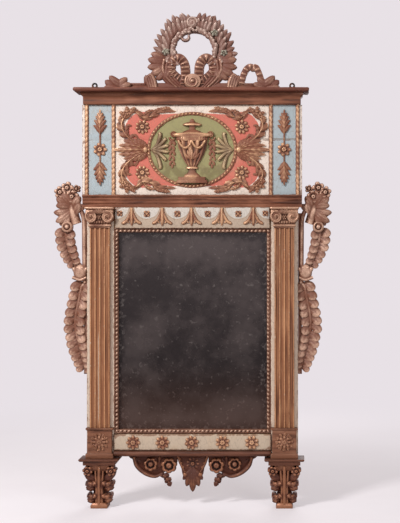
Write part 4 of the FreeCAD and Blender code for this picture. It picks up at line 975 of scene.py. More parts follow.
    def slab(self, outline: Sequence[Point], low: float, high: float) -> None:
        """Adds a flat cut-out.

        Args:
            outline: its corners, in order.
            low: height of its back.
            high: height of its front.
        """
        first, count = len(self.points), len(outline)
        middle = (sum(x for x, _ in outline) / count, sum(z for _, z in outline) / count)
        bevel = min(1.6, (high - low) * 0.3)
        inner = []
        for x, z in outline:
            away = max(dist((x, z), middle), 1.0)
            inner.append((x + (middle[0] - x) * bevel / away, z + (middle[1] - z) * bevel / away))
        for ring, level in ((outline, low), (outline, high - bevel), (inner, high)):
            self.points += [(x, z, level) for x, z in ring]
        self.faces += [tuple(range(first, first + count)),
                       tuple(reversed(range(first + 2 * count, first + 3 * count)))]
        self.faces += [tuple(reversed(face)) for face in quads(first, 3, count, True)]

    def mirrored(self, other: "Carver") -> None:
        """Adds a mirror image of a carving, which may be this one itself.

        Args:
            other: the carving to repeat.
        """
        first = len(self.points)
        self.points += [(-x, z, height) for x, z, height in other.points]
        self.faces += [tuple(first + k for k in reversed(face)) for face in other.faces]

    def make(self, name: str, finish: Finish, *nodes: str) -> None:
        """Makes the mesh and hands it to the frame.

        Args:
            name: the object's name.
            finish: its finish.
            nodes: the CAD nodes that it stands for.
        """
        mesh = bpy.data.meshes.new(name)
        points = [((self.x + x) * MM, (self.ground - h) * MM, z * MM) for x, z, h in self.points]
        mesh.from_pydata(points, [], self.faces)
        tidy = bmesh.new()
        tidy.from_mesh(mesh)
        bmesh.ops.recalc_face_normals(tidy, faces=tidy.faces)
        tidy.to_mesh(mesh)
        tidy.free()
        dress(mesh, name, finish, Slot.GILT, *nodes)

    def make_pair(self, name: str, finish: Finish, nodes: str) -> None:
        """Makes the carving for the left side and its mirror image for the right.

        Args:
            name: the objects' name, to which their side is added.
            finish: their finish.
            nodes: the name of the CAD nodes that they stand for, without the side.
        """
        other = Carver(self.ground)
        other.mirrored(self)
        for carver, (_, hand) in zip((self, other), HANDS):
            carver.make(f"{name}_{hand}_carved", finish, f"{nodes}_{hand}")

    def make_twins(self, name: str, finish: Finish, away: float) -> None:
        """Makes the carving twice, once at each side.

        Args:
            name: the name of the CAD nodes that they stand for, without the side.
            finish: their finish.
            away: how far they stand from the mirror's middle.
        """
        for side, hand in HANDS:
            self.x = side * away
            self.make(f"{name}_{hand}_carved", finish, f"{name}_{hand}")


def read(items: bpy.types.bpy_prop_collection, name: str, wide: int,
         kind: type = float) -> np.ndarray:
    """Reads one value of every point or edge of a mesh.

    Args:
        items: the points or edges.
        name: the value's name.
        wide: how many numbers it has.
        kind: what kind of number.

    Returns:
        A row for each item.
    """
    values = np.zeros(len(items) * wide, kind)
    items.foreach_get(name, values)
    return values.reshape(-1, wide)


def keep(mesh: bpy.types.Mesh, name: str, values: Sequence[float]) -> None:
    """Keeps a number on each point of a mesh, for the finishes to read."""
    mesh.attributes.new(name, "FLOAT", "POINT").data.foreach_set("value", values)


@dataclass(frozen=True)
class Relief:
    """Weighs how far each point of a carving stands out; the gilding paints shade in its hollows
    and highlights, with wear, on its crests.
    """
    grid: float = 0.005        # metres between the places where the height around is kept
    proud: float = 0.0045      # metres over the height around at which a point is fully proud
    short: float = 0.010       # mean edge in metres, past which a form counts as plain and flat
    bend: float = 0.8          # weight of the surface's bend
    stand: float = 0.20        # weight of the height over what lies around
    depth: float = 0.12        # weight of the depth in the whole carving
    level: float = 0.55        # share of the whole depth at which it has no weight

    def curve(self, mesh: bpy.types.Mesh, place: np.ndarray) -> tuple[np.ndarray, np.ndarray]:
        """Finds how the surface bends at each point, and how plain it is there.

        Args:
            mesh: the mesh.
            place: its points, in metres.

        Returns:
            The bend, 0.5 where it is flat and more on a crest, and the plainness: 1 on fine
            carving and less where edges are long.
        """
        normal = read(mesh.vertices, "normal", 3)
        edge = read(mesh.edges, "vertices", 2, int)
        count, ways = len(place), ((edge[:, 0], edge[:, 1]), (edge[:, 1], edge[:, 0]))
        total, share, reach = np.zeros(count), np.zeros(count), np.zeros(count)
        for a, b in ways:
            step = place[b] - place[a]
            long = np.maximum(np.linalg.norm(step, axis=1), 1e-9)
            step /= long[:, None]
            np.add.at(reach, a, long)
            np.add.at(total, a, (step * normal[a]).sum(1))
            np.add.at(share, a, 1)
        crest = 0.5 - total / np.maximum(share, 1) * self.bend
        for _ in range(2):
            spread, near = crest.copy(), np.ones(count)
            for a, b in ways:
                np.add.at(spread, a, crest[b] * 0.5)
                np.add.at(near, a, 0.5)
            crest = spread / near
        return crest, np.clip(self.short * share / np.maximum(reach, 1e-9), 0.15, 1)

    def height(self, place: np.ndarray) -> np.ndarray:
        """Finds how high each point stands over what lies around it.

        Args:
            place: the points, in metres.

        Returns:
            1 on what stands proud, -1 in what lies sunk.
        """
        front, flat = -place[:, 1], place[:, (0, 2)]
        cell = ((flat - flat.min(0)) / self.grid).astype(int) + 1
        top = np.full(tuple(cell.max(0) + 2), -1.0)
        np.maximum.at(top, (cell[:, 0], cell[:, 1]), front)
        filled = (top > -0.9).astype(float)
        top = np.where(filled > 0, top, 0.0)
        for axis in (0, 1, 0, 1):
            top = top + np.roll(top, 1, axis) + np.roll(top, -1, axis)
            filled = filled + np.roll(filled, 1, axis) + np.roll(filled, -1, axis)
        around = (top / np.maximum(filled, 1e-9))[cell[:, 0], cell[:, 1]]
        return np.clip((front - around) / self.proud, -1, 1)

    def weigh(self, mesh: bpy.types.Mesh) -> None:
        """Keeps on each point how far it stands out, from 0 in a hollow to 1 on a crest.

        Args:
            mesh: the mesh to weigh.
        """
        place = read(mesh.vertices, "co", 3)
        crest, plain = self.curve(mesh, place)
        front = -place[:, 1]
        depth = (front - front.min()) / max(front.max() - front.min(), 1e-6)
        # Low in hollows and deep parts, where the gilding paints shade, high on crests, where it
        # paints highlights.
        crest = crest - 0.5 + (depth - self.level) * self.depth + self.height(place) * self.stand
        keep(mesh, "crest", np.clip(0.5 + crest * plain, 0, 1))


def put(name: str, data: bpy.types.ID) -> bpy.types.Object:
    """Puts an object into the scene.

    Args:
        name: its name.
        data: its mesh, lamp or camera.

    Returns:
        The object.
    """
    item = bpy.data.objects.new(name, data)
    bpy.context.scene.collection.objects.link(item)
    return item


def dress(mesh: bpy.types.Mesh, name: str, finish: Finish, slot: Slot, *nodes: str) -> None:
    """Makes an object of a mesh and hands it to the frame.

    Args:
        mesh: the mesh.
        name: the object's name.
        finish: its finish.
        slot: not used.
        nodes: the CAD nodes that it stands for.
    """
    mesh.shade_smooth()
    mesh.set_sharp_from_angle(angle=radians(SHARP))
    Relief().weigh(mesh)
    mesh.materials.append(finish.material())
    item = put(name, mesh)
    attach(item, "root")
    if nodes:
        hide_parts(*nodes)
    LOG.info("made %s", name)


# ------------ timber of the carcase

@dataclass(frozen=True)
class Timber:
    """A board or moulding of the CAD model, redrawn with eased edges and a fine cross grid."""
    node: str
    finish: Finish
    slot: Slot
    ease: float = 1.2
    pitch: float = 24.0
    wave: float = 0.25
    flat: float = 2.0          # degrees up to which two faces count as one
    corner: float = 30.0       # degrees from which an outer edge is eased

    def build(self) -> None:
        """Makes the worn board."""
        work = bmesh.new()
        work.from_mesh(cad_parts[self.node].data)
        bmesh.ops.remove_doubles(work, verts=work.verts, dist=1e-6)
        bmesh.ops.dissolve_limit(work, angle_limit=radians(self.flat), verts=work.verts,
                                 edges=work.edges)
        sharp = [e for e in work.edges if len(e.link_faces) == 2
                 and e.calc_face_angle_signed(0.0) > radians(self.corner)]
        spans = np.array([[*e.verts[0].co, *e.verts[1].co] for e in sharp]).reshape(-1, 2, 3)
        if self.ease:
            bmesh.ops.bevel(work, geom=sharp, offset=self.ease * MM, segments=2, profile=0.5,
                            affect="EDGES", clamp_overlap=True)
        self.divide(work)
        self.settle(work)
        mesh = bpy.data.meshes.new(self.node + "_worn")
        work.to_mesh(mesh)
        work.free()
        keep(mesh, "rim", self.rim(read(mesh.vertices, "co", 3), spans))
        dress(mesh, self.node + "_worn", self.finish, self.slot, self.node)

    def divide(self, work: bmesh.types.BMesh) -> None:
        """Cuts the faces across in a regular grid, so that they can carry wear.

        Args:
            work: the mesh in the making.
        """
        low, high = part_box(self.node)
        for axis in (0, 2):
            count = int((high[axis] - low[axis]) / MM / self.pitch)
            for k in range(1, count + 1):
                at, way = Vector((0, 0, 0)), Vector((0, 0, 0))
                at[axis] = low[axis] + (high[axis] - low[axis]) * k / (count + 1)
                way[axis] = 1.0
                geometry = work.verts[:] + work.edges[:] + work.faces[:]
                bmesh.ops.bisect_plane(work, geom=geometry, dist=1e-7, plane_co=at,
                                       plane_no=way)

    def settle(self, work: bmesh.types.BMesh) -> None:
        """Moves the points a little inward, as hand-planed and worn wood does.

        Args:
            work: the mesh in the making.
        """
        work.normal_update()
        for point in work.verts:
            x, _, z = point.co / MM
            dip = 0.5 + 0.25 * sin(x / 61 + z / 37) + 0.25 * sin(x / 23 - z / 87)
            point.co -= point.normal * self.wave * dip * MM

    def rim(self, places: np.ndarray, spans: np.ndarray) -> np.ndarray:
        """How far each point lies from the nearest outer edge.

        Args:
            places: the points, in metres.
            spans: both ends of each edge.

        Returns:
            The distances in millimetres.
        """
        best = np.full(len(places), 1.0)
        for start, end in spans:
            way = end - start
            share = ((places - start) @ way) / max(way @ way, 1e-12)
            near = start + np.clip(share, 0, 1)[:, None] * way
            best = np.minimum(best, np.linalg.norm(places - near, axis=1))
        return best / MM


@dataclass
class Carcase:
    """The pegged frame, its boards, shelves and mouldings, with the glass and its backing."""
    worn: tuple[Timber, ...] = (
        *(Timber(f"stile_{hand}", Finish.CREAM, Slot.GROUND, 1.5) for _, hand in HANDS),
        *(Timber(f"panel_board_{row}", Finish.PANEL, Slot.GROUND, 0.3)
          for row in ("lower", "upper")),
        Timber("frieze_board", Finish.FRIEZE, Slot.GROUND, 0.8),
        Timber("lower_frieze_board", Finish.SILL, Slot.GROUND, 0.8),
        Timber("cornice_fascia", Finish.CORNICE, Slot.STAINED, 1.5, 16.0, 0.5),
        Timber("cornice_crown", Finish.CROWN, Slot.STAINED, 1.8, 16.0, 0.6),
        Timber("architrave", Finish.CORNICE, Slot.STAINED, 1.2, 16.0, 0.4),
        Timber("base_moulding", Finish.MOULDING, Slot.STAINED, 1.5, 16.0, 0.4),
        *(Timber(f"pedestal_{hand}", Finish.PEDESTAL, Slot.STAINED, 1.2, 12.0, 0.4)
          for _, hand in HANDS),
        *(Timber(f"shelf_{hand}", Finish.MOULDING, Slot.STAINED, 1.5, 12.0, 0.4)
          for _, hand in HANDS),
    )
    kept: tuple[tuple[Finish, tuple[str, ...]], ...] = (
        (Finish.PINE_ACROSS, ("bottom_rail", "middle_rail", "top_rail", "glass_backboards",
                              "tenon_pegs")),
        (Finish.PINE_UPRIGHT, ("glass_blocks", "foot_tongues")),
        (Finish.IRON, ("hanging_straps", "strap_nails")),
        (Finish.GLASS, ("mirror_glass",)),
    )

    def build(self) -> None:
        """Dresses every board and fitting of the carcase."""
        for timber in self.worn:
            timber.build()
        for finish, nodes in self.kept:
            for node in nodes:
                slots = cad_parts[node].data.materials
                slots.clear()
                slots.append(finish.material())
                LOG.info("dressed %s", node)


@dataclass
class Beading:
    """The rope-like row of beads round the glass, on its dark strip."""
    ground: float = 29.0
    half: float = 300.0
    low: float = 310.0
    high: float = 1106.0
    width: float = 16.0
    thick: float = 17.0
    sunk: float = 0.2          # how deep the beads' backs lie in the strip
    pitch: float = 16.5
    middle: float = 5.44       # from the glass to the line of the beads
    rail: float = 13.44        # from the glass to the thin outer edge

    def ring(self, away: float) -> Line:
        """The corners of a frame round the glass, at a distance from it."""
        x, low, high = self.half + away, self.low - away, self.high + away
        return (-x, low), (x, low), (x, high), (-x, high)

    def row(self, beads: Carver, start: Point, end: Point, ends: int, lean: float) -> None:
        """Carves one straight row of beads.

        Args:
            beads: the carving.
            start: where the row starts.
            end: where it ends.
            ends: 1 for a row that holds the corner beads, 0 for one between them.
            lean: the direction of the beads' length, in degrees.
        """
        count = round(dist(start, end) / self.pitch)
        for k in range(1 - ends, count + ends):
            spot = tuple(a + (b - a) * k / count for a, b in zip(start, end))
            beads.bead(spot, self.pitch * 0.46, self.middle * 0.9,
                       8.0 + beads.chance.uniform(-0.5, 0.4), lean)

    def build(self) -> None:
        """Carves the four mitred strips with their beads."""
        carver = Carver(self.ground, 11)
        beads = Carver(self.ground - self.thick + self.sunk, 12)
        outer, inner = self.ring(self.width), self.ring(0.0)
        for k in range(4):
            n = (k + 1) % 4
            carver.slab([outer[k], outer[n], inner[n], inner[k]], 0.0, self.thick)
        line, edge = self.ring(self.middle), self.ring(self.rail)
        for way, upright, flat in ((-1, (0, 3), (0, 1)), (1, (1, 2), (3, 2))):
            for corners, ends, lean in ((upright, 1, 90 + way * 30), (flat, 0, 30)):
                self.row(beads, *(line[k] for k in corners), ends, lean)
                beads.blade([edge[k] for k in corners], 2.4, Leaf.STEM, 2.0)
        beads.make("sight_beads", Finish.BEADS)
        carver.make("sight_strips", Finish.BEADS, "sight_beading")


@dataclass
class TwistMouldings:
    """The upright strips of twisted leaf that divide the upper panel."""
    places: tuple[tuple[str, float], ...] = (("outer_left", -424.0), ("inner_left", -316.0),
                                             ("inner_right", 316.0), ("outer_right", 424.0))
    low: float = 1256.0
    high: float = 1618.0
    half: float = 8.2
    pitch: float = 21.0

    def build(self) -> None:
        """Carves each strip as a half round wound with leaves."""
        length = self.high - self.low
        turns = length / self.pitch
        steps = int(turns * 8)
        for name, x in self.places:
            carver, lean, rows = Carver(PANEL, 5), copysign(1.6, x), []
            for step in range(steps + 1):
                z = self.low + length * step / steps
                row = []
                for k in range(11):
                    angle = pi * k / 10
                    turn = 2 * pi * turns * step / steps + (angle - pi / 2) * lean
                    swell = self.half * (0.80 + 0.20 * abs(sin(turn / 2)) ** 0.6)
                    row.append((x - swell * cos(angle), z, 1.0 + swell * sin(angle)))
                rows.append(row)
            carver.solid(rows, False)
            carver.make(f"twist_{name}_carved", Finish.CARVING, f"twist_{name}")


# ------------ the upper panel

@dataclass
class OvalFrame:
    """The beaded oval that frames the urn."""
    middle: float = 1437.0
    outer: Point = (182.0, 153.0)
    rim: float = 14.0
    beads: int = 66
    reach: float = 160.0       # mean radius of the row of beads
    section: Line = ((-1.0, 0.0), (-0.9, 3.6), (-0.35, 4.6), (0.35, 4.6), (0.9, 3.6), (1.0, 0.0))

    def build(self) -> None:
        """Carves the ring and its beads."""
        carver, half, steps = Carver(PANEL, 7), self.rim / 2, 96
        wide, high = self.outer[0] - half, self.outer[1] - half
        for k in range(steps):
            angle = 2 * pi * k / steps
            carver.points += [((wide + share * half) * cos(angle),
                               self.middle + (high + share * half) * sin(angle), level)
                              for share, level in self.section]
        carver.faces += quads(0, steps, len(self.section), True, True)
        walk = smooth_line(arc((0.0, self.middle), (wide, high), 0, 360, 240), self.beads)
        pitch = 2 * pi * self.reach / self.beads
        for spot, (across, up) in walk[:-1]:
            carver.bead(spot, pitch * 0.42, self.rim * 0.32, 9.4,
                        degrees(atan2(up, across)) + 30)
        carver.make("oval_ring", Finish.CARVING, "oval_frame")


@dataclass
class Urn:
    """The garlanded urn in low relief, turned in section and flattened on the panel."""
    floor: float = 1303.0
    flat: float = 0.34
    limit: float = 21.0

    def turned(self, carver: Carver, profile: Sequence[Point], ribs: int = 0,
               deep: float = 0.0, sides: int = 20) -> None:
        """Adds one stage of the urn, a half round of its profile.

        Args:
            carver: the carving.
            profile: half width and height of each level, from the foot up.
            ribs: gadroons round the stage.
            deep: how deep the grooves between them are.
            sides: how many steps go across it.
        """
        rows = []
        for radius, level in profile:
            row = []
            for k in range(sides + 1):
                angle = pi * k / sides
                groove = deep * abs(cos(ribs * angle / 2)) ** 2 if ribs else 0.0
                height = radius * self.flat * sin(angle) * (1 - groove) + 1.5
                row.append((-radius * cos(angle) * (1 - groove * 0.2),
                            self.floor + level, min(height + 2.0, self.limit)))
            rows.append(row)
        carver.solid(rows, False)

    def build(self) -> None:
        """Carves the urn with its swag, scrolls and hanging husks."""
        carver = Carver(PANEL, 9)
        for half, low, high, front in ((61, 0, 11, 22.0), (54, 10, 24, 19.0)):
            carver.slab([(-half, self.floor + low), (half, self.floor + low),
                         (half, self.floor + high), (-half, self.floor + high)], 0.5, front)
        self.turned(carver, [(32, 24), (33, 28), (29, 33), (21, 39), (15, 46), (14, 56), (20, 60)])
        self.turned(carver, [(24, 58), (24, 64), (18, 66)])
        body = [(16, 64), (24, 76), (37, 96), (48, 118), (56, 140), (60, 160), (60, 170)]
        self.turned(carver, body, 11, 0.5, 44)
        self.turned(carver, [(61, 169), (64, 171), (64, 183), (61, 185)], 26, 0.12, 52)
        self.turned(carver, [(66, 184), (78, 188), (82, 193), (78, 198), (66, 200)])
        self.turned(carver, [(56, 199), (40, 204), (30, 209), (19, 214)])
        self.turned(carver, [(13, 212), (11, 222), (15, 232)])
        self.turned(carver, [(36, 231), (38, 236), (30, 240), (20, 244)])
        self.turned(carver, [(9, 243), (10, 249), (7, 254), (3, 259)])
        for way in (-1, 1):
            swag = [(0, 170), (way * 10, 150), (way * 26, 140), (way * 42, 150), (way * 54, 170)]
            carver.blade([(u, self.floor + v) for u, v in swag], 5.0, Leaf.STEM, 21.0, thick=10.0)
            for k in range(5):
                u, v = 6 + 10 * k, (160, 146, 139, 146, 160)[k]
                carver.bead((way * u, self.floor + v), 6.0, 4.4, 27.0, way * (k - 2) * 24)
            carver.boss((way * 74, self.floor + 196), (13, 13),
                        [(1, 8), (0.8, 13), (0.55, 11), (0.4, 15), (0.15, 15)], 16)
            hook = arc((way * 80, self.floor + 184), (11, 12), 90 - way * 90, 90 - way * 250, 6)
            carver.blade(hook, 4.0, Leaf.STEM, 4.0)
            for k in range(5):
                place = (way * (80 + 2 * (k % 2)), self.floor + 172 - k * 20)
                for side in (-1, 1):
                    carver.blade(ray(place, -90 + side * 24, 24, side * 0.1),
                                 6.5 - k * 0.5, Leaf.HUSK, 3.0)
            carver.blade(ray((way * 80, self.floor + 76), -90, 16), 5, Leaf.HUSK, 3.0)
        for k in range(5):
            angle = -90 + (k - 2) * 26
            carver.blade(ray((0, self.floor + 96), 180 + angle, 40, 0.04 * (k - 2)), 7,
                         Leaf.LAUREL, 17.0 - abs(k - 2) * 1.6, thick=6.0)
        carver.make("urn_carved", Finish.CARVING, "urn_relief")


@dataclass
class PalmSprays:
    """Two sprays of palm leaf that lean in from the oval's ends."""
    root: Point = (164.0, 1436.0)
    tips: Line = ((128, 1498), (108, 1480), (97, 1455), (97, 1427), (108, 1398),
                               (127, 1368))

    def build(self) -> None:
        """Carves six curling blades and three small leaves, and their mirror image."""
        carver = Carver(PANEL, 13)
        for index, tip in enumerate(self.tips):
            share = (index - 2.5) / 2.5
            middle = (self.root[0] * 0.5 + tip[0] * 0.5 - 6 * abs(share),
                      self.root[1] * 0.5 + tip[1] * 0.5 + 7 * share)
            curl = (tip[0] + 10 * abs(share), tip[1] - 4 * share)
            carver.blade([self.root, middle, tip, curl], 8.4, Leaf.PALM, 1.5, curled(3.0))
        for share in (-1, 0, 1):
            low = (self.root[0] - 34, self.root[1] + share * 17)
            carver.blade([self.root, low], 4.5, Leaf.LAUREL, 6.0)
        carver.mirrored(carver)
        carver.make("palm_leaves", Finish.PALMS, "palm_sprays")


@dataclass
class Rinceaux:
    """Scrolled acanthus in the panel's four corners, with a palmette at each end of the oval."""
    middle: float = 1437.0
    rosette: Point = (200.0, 92.0)

    def corner(self, carver: Carver, way: int) -> None:
        """Carves the leafwork of one corner at the left.

        Args:
            carver: the carving.
            way: 1 above the middle line, -1 below it.
        """
        def at(*places: Point) -> list[Point]:
            """Points by their distances from the two middle lines."""
            return [(-across, self.middle + way * above) for across, above in places]

        scroll = at((206, 16), (232, 30), (264, 58), (283, 94), (276, 126), (250, 144))
        carver.blade(scroll, 18.5, Leaf.ACANTHUS, 3.0, cupped(2.5),
                     bias=-0.25 * way)
        carver.blade(scroll[1:5], 4.0, Leaf.STEM, 7.0)
        curls = ((((216, 18), (236, 26), (246, 46), (234, 58), (222, 50)), 8.5),
                 (((250, 46), (262, 70), (262, 92), (250, 98)), 9.0))
        for places, half in curls:
            carver.blade(at(*places), half, Leaf.OAK, 5.0)
        for tip, half in (((292, 126), 11), ((289, 149), 11), ((262, 170), 12), ((232, 168), 10)):
            middle = ((256 + tip[0]) / 2 + 2, (128 + tip[1]) / 2 + 5)
            carver.blade(at((256, 126), middle, tip), half, Leaf.OAK, 5.0, curled(3.0))
        bough = at((262, 142), (230, 152), (198, 130), (164, 134), (128, 152), (80, 154))
        carver.blade(bough, 14.5, Leaf.ACANTHUS, 3.5, cupped(2.0),
                     bias=0.3)
        for root, tip in (((196, 132), (158, 158)), ((162, 136), (120, 166)),
                          ((126, 150), (92, 168))):
            middle = ((root[0] + tip[0]) / 2 + 3, (root[1] + tip[1]) / 2 + 5)
            carver.blade(at(root, middle, tip), 9, Leaf.OAK, 5.0, curled(2.5))

    def palmette(self, carver: Carver) -> None:
        """Carves the fan of leaves at the oval's left end.

        Args:
            carver: the carving.
        """
        root = (-184.0, self.middle)
        fan = ((128, 58, 10), (112, 40, 8), (144, 76, 11), (158, 92, 12), (170, 104, 12),
               (180, 122, 13))
        for index, (angle, length, half) in enumerate(fan):
            for side in ((-1, 1) if angle < 180 else (0,)):
                heading = 180 - side * (180 - angle)
                carver.blade(ray(root, heading, length, -0.07 * side), half, Leaf.SERRATE,
                             3.0 + 0.8 * index, cupped(2.5))
        carver.boss((root[0] - 4, self.middle), (11, 13), [(1, 6), (0.8, 11), (0.4, 13)], 14)

    def build(self) -> None:
        """Carves both sides and the four open flowers."""
        left = Carver(PANEL, 17)
        for way in (-1, 1):
            self.corner(left, way)
        self.palmette(left)
        left.make_pair("rinceau", Finish.CARVING, "rinceau")
        blooms = Carver(PANEL, 19)
        across, above = self.rosette
        for side in (-1, 1):
            for way in (-1, 1):
                blooms.flower((side * across, self.middle + way * above), 29, 9, 4.0, 6.0, 0.32,
                              7.0 * side)
        blooms.make("field_flowers", Finish.CARVING, "field_rosettes")


@dataclass
class SideDrops:
    """Leaf, flower and leaf strung on a stem down each blue field."""
    middle: float = 370.0
    flower: float = 1438.0

    def build(self) -> None:
        """Carves both drops."""
        carver = Carver(PANEL, 21)
        carver.blade([(0, 1508), (0, 1370)], 3.0, Leaf.STEM, 3.0)
        for root, way in ((1500.0, 1), (1392.0, -1)):
            for up, length, spread in ((4, 42, 40), (19, 45, 32), (36, 41, 26), (54, 33, 20)):
                for turn in (-1, 1):
                    line = ray((0, root + way * up), way * 90 + turn * spread, length,
                               -0.12 * turn)
                    carver.blade(line, 9.0, Leaf.LAUREL, 4.0 + up * 0.05)
            carver.blade([(0, root), (0, root + way * 50), (0, root + way * 92)], 8,
                         Leaf.SERRATE, 7.0, cupped(2.0))
        carver.flower((0, self.flower), 28, 7, 4.0, 7.0, 0.34)
        carver.make_twins("side_drop", Finish.CARVING, self.middle)


# ------------ the friezes

@dataclass
class TopFrieze:
    """Bell-flower drops and small square flowers along the top frieze."""
    drops: tuple[float, ...] = (-244.0, -121.0, -3.0, 119.0, 246.0)
    florets: tuple[float, ...] = (-183.0, -60.0, 62.0, 185.0)
    ends: Point = (-292.0, 294.0)
    top: float = 1204.0
    tip: float = 1131.0

    def build(self) -> None:
        """Carves the drops and the florets."""
        carver = Carver(FRIEZE, 23)
        for x in self.drops:
            carver.blade([(x, self.top), (x, 1180), (x, self.tip + 10)], 6.5, Leaf.STEM, 3.0)
            carver.blade([(x, 1178), (x, self.tip)], 8.5, Leaf.LAUREL, 4.0)
            for way in (-1, 1):
                arm = [(x + way * 3, 1196), (x + way * 10, 1172), (x + way * 22, 1150),
                       (x + way * 41, 1139)]
                carver.blade(arm, 7.0, Leaf.PALM, 3.0)
                carver.bead((x + way * 14, 1146), 7, 3.4, 6.0, 90 - way * 40)
        carver.make("frieze_drops", Finish.CARVING, "frieze_pendants")
        small = Carver(FRIEZE, 25)
        for x in self.florets:
            small.flower((x, 1180), 14.5, 4, 3.5, 4.5, 0.34, 45)
        for x in self.ends:
            small.flower((x, 1182), 13.0, 4, 3.5, 4.5, 0.34, 45)
        small.make("frieze_square_flowers", Finish.CARVING, "frieze_florets")


@dataclass
class LowerRosettes:
    """Eight-petalled flowers on the lower frieze and the lacy ones on the pedestals."""
    places: tuple[float, ...] = (-238.0, -120.0, -2.0, 122.0, 240.0)
    level: float = 259.0
    radius: float = 28.5
    pedestal: Point = (371.0, 264.0)

    def build(self) -> None:
        """Carves the flowers of the sill and the pedestals."""
        carver = Carver(FRIEZE, 27)
        for k, x in enumerate(self.places):
            carver.flower((x, self.level), self.radius, 8, 4.0, 5.0, 0.34, 6.0 * k)
        carver.make("sill_flowers", Finish.CARVING, "frieze_rosettes")
        lace = Carver(-15.0, 29)
        for side, _ in HANDS:
            centre = (side * self.pedestal[0], self.pedestal[1])
            lace.flower(centre, 37, 12, 2.0, 4.0, 0.45, 0)
            lace.flower(centre, 24, 8, 5.0, 3.6, 0.36, 0, 3.0)
            for spot in arc(centre, (31, 31), 9, 333, 9):
                lace.boss(spot, (4.5, 4.5), [(1, 3.0), (0.7, 6.4), (0.3, 5.0), (0.1, 4.0)], 10)
        lace.make("pedestal_flowers", Finish.LACE, "pedestal_rosettes")


# ------------ the two orders

@dataclass
class Order:
    """A fluted pilaster with its scrolled capital, repeated on both sides of the glass."""
    middle: float = 371.0
    low: float = 320.0
    high: float = 1122.0
    half: float = 40.0
    thick: float = 18.0
    flutes: int = 4
    flute: float = 14.0
    bands: tuple[tuple[float, float, float, float], ...] = (
        (0, 6, 42, 20), (6, 15, 46, 25), (15, 19, 42, 20), (18, 70, 46, 22), (60, 72, 55, 34),
        (71, 76, 53, 33), (76, 84, 58.5, 39.5))

    def section(self) -> list[Spot]:
        """The pilaster's section.

        Returns:
            Across, height over the frame, and the distance from the nearest outer edge.
        """
        fillet = (2 * self.half - self.flutes * self.flute) / (self.flutes + 1)
        line = [(-self.half, 0.0, 9.0), (-self.half, self.thick - 1, 1.0),
                (-self.half + 1, self.thick, 0.5)]
        for k in range(self.flutes):
            start = -self.half + fillet + k * (fillet + self.flute)
            for step in range(9):
                angle = pi * step / 8
                u = start + self.flute / 2 * (1 - cos(angle))
                # The third value rises to each flute's bottom, where the pilaster's finish paints
                # shade.
                line.append((u, self.thick - 5.4 * sin(angle) ** 0.8,
                             0.4 + 7.0 * sin(angle)))
        line += [(self.half - 1, self.thick, 0.5), (self.half, self.thick - 1, 1.0),
                 (self.half, 0.0, 9.0)]
        return line

    def pilaster(self, side: int, name: str) -> None:
        """Makes one pilaster.

        Args:
            side: -1 at the left, 1 at the right.
            name: the node it stands for.
        """
        section, steps = self.section(), 60
        points, wide = [], len(section)
        for step in range(steps + 1):
            z = self.low + (self.high - self.low) * step / steps
            for u, height, rim in section:
                sag = 0.24 * sin(z / 71 + u / 9 + side) * (0.4 if rim > 5 else 1.0)
                points.append(((side * self.middle + u) * MM,
                               (FACE - max(height - 0.4 + sag, 0.0)) * MM, z * MM))
        faces = quads(0, steps + 1, wide, True)
        faces += [tuple(reversed(range(wide))), tuple(range(steps * wide, (steps + 1) * wide))]
        mesh = bpy.data.meshes.new(name + "_fluted")
        mesh.from_pydata(points, [], faces)
        keep(mesh, "rim", [rim for _, _, rim in section] * (steps + 1))
        dress(mesh, name + "_fluted", Finish.PILASTER, Slot.GILT, name)

    def band(self, carver: Carver, low: float, high: float, half: float, front: float) -> None:
        """Adds a flat band with a rounded front edge to a capital.

        Args:
            carver: the carving.
            low: where the band starts, over the pilaster.
            high: where it ends.
            half: half its width.
            front: height of its front.
        """
        rows = []
        for share in (0.0, 0.12, 0.5, 0.88, 1.0):
            bulge = sin(pi * share) ** 0.5 * 1.6
            z = self.high + low + (high - low) * share
            wide, deep = half - 1.6 + bulge, front - 1.6 + bulge
            edge = [(wide - 1.5, z, deep), (wide, z, deep - 1.5)]
            rows.append([(-u, z, height) for u, _, height in reversed(edge)]
                        + [(wide * (k / 4 - 1), z, deep) for k in range(1, 8)] + edge)
        carver.solid(rows, False)

    def capital(self) -> Carver:
        """Carves a capital: astragal, egg band, scrolls, flowers and abacus.

        Returns:
            The carving, for either side.
        """
        carver, level = Carver(FACE, 31), self.high
        for sizes in self.bands:
            self.band(carver, *sizes)
        for k in range(-4, 5):
            carver.boss((k * 10, level + 24), (4.4, 6.0),
                        [(1, 22), (0.8, 25.5), (0.4, 27.5), (0.1, 28)], 10)
        for way in (-1, 1):
            centre = (way * 34, level + 45)
            carver.boss(centre, (24, 24), [(1, 18), (0.97, 30), (0.9, 33), (0.1, 32)], 28)
            spiral = [(centre[0] + way * r * cos(a), centre[1] + r * sin(a))
                      for r, a in ((24 - 3.1 * t, 1.9 - 1.25 * t) for t in
                                   [k * 0.42 for k in range(16)])]
            carver.blade(spiral, 4.6, Leaf.STEM, 32.0, thick=4.0)
            carver.flower(centre, 8.5, 6, 33.0, 5.0, 0.4, 12, 30.0)
        carver.blade([(-34, level + 68), (0, level + 62), (34, level + 68)], 5,
                     Leaf.RIBBON, 31.0, thick=6.0)
        carver.flower((0, level + 44), 11, 6, 26.0, 6.0, 0.35, 0, 20.0)
        for way in (-1, 0, 1):
            carver.blade(ray((0, level + 60), 90 + way * 38, 22), 6, Leaf.OAK, 33.0,
                         curled(3.0), thick=5.0)
        return carver

    def build(self) -> None:
        """Makes both pilasters and both capitals."""
        capital = self.capital()
        for side, hand in HANDS:
            self.pilaster(side, f"pilaster_{hand}")
            capital.x = side * self.middle
            capital.make(f"capital_{hand}_carved", Finish.CAPITAL, f"capital_{hand}")


# ------------ feet and apron

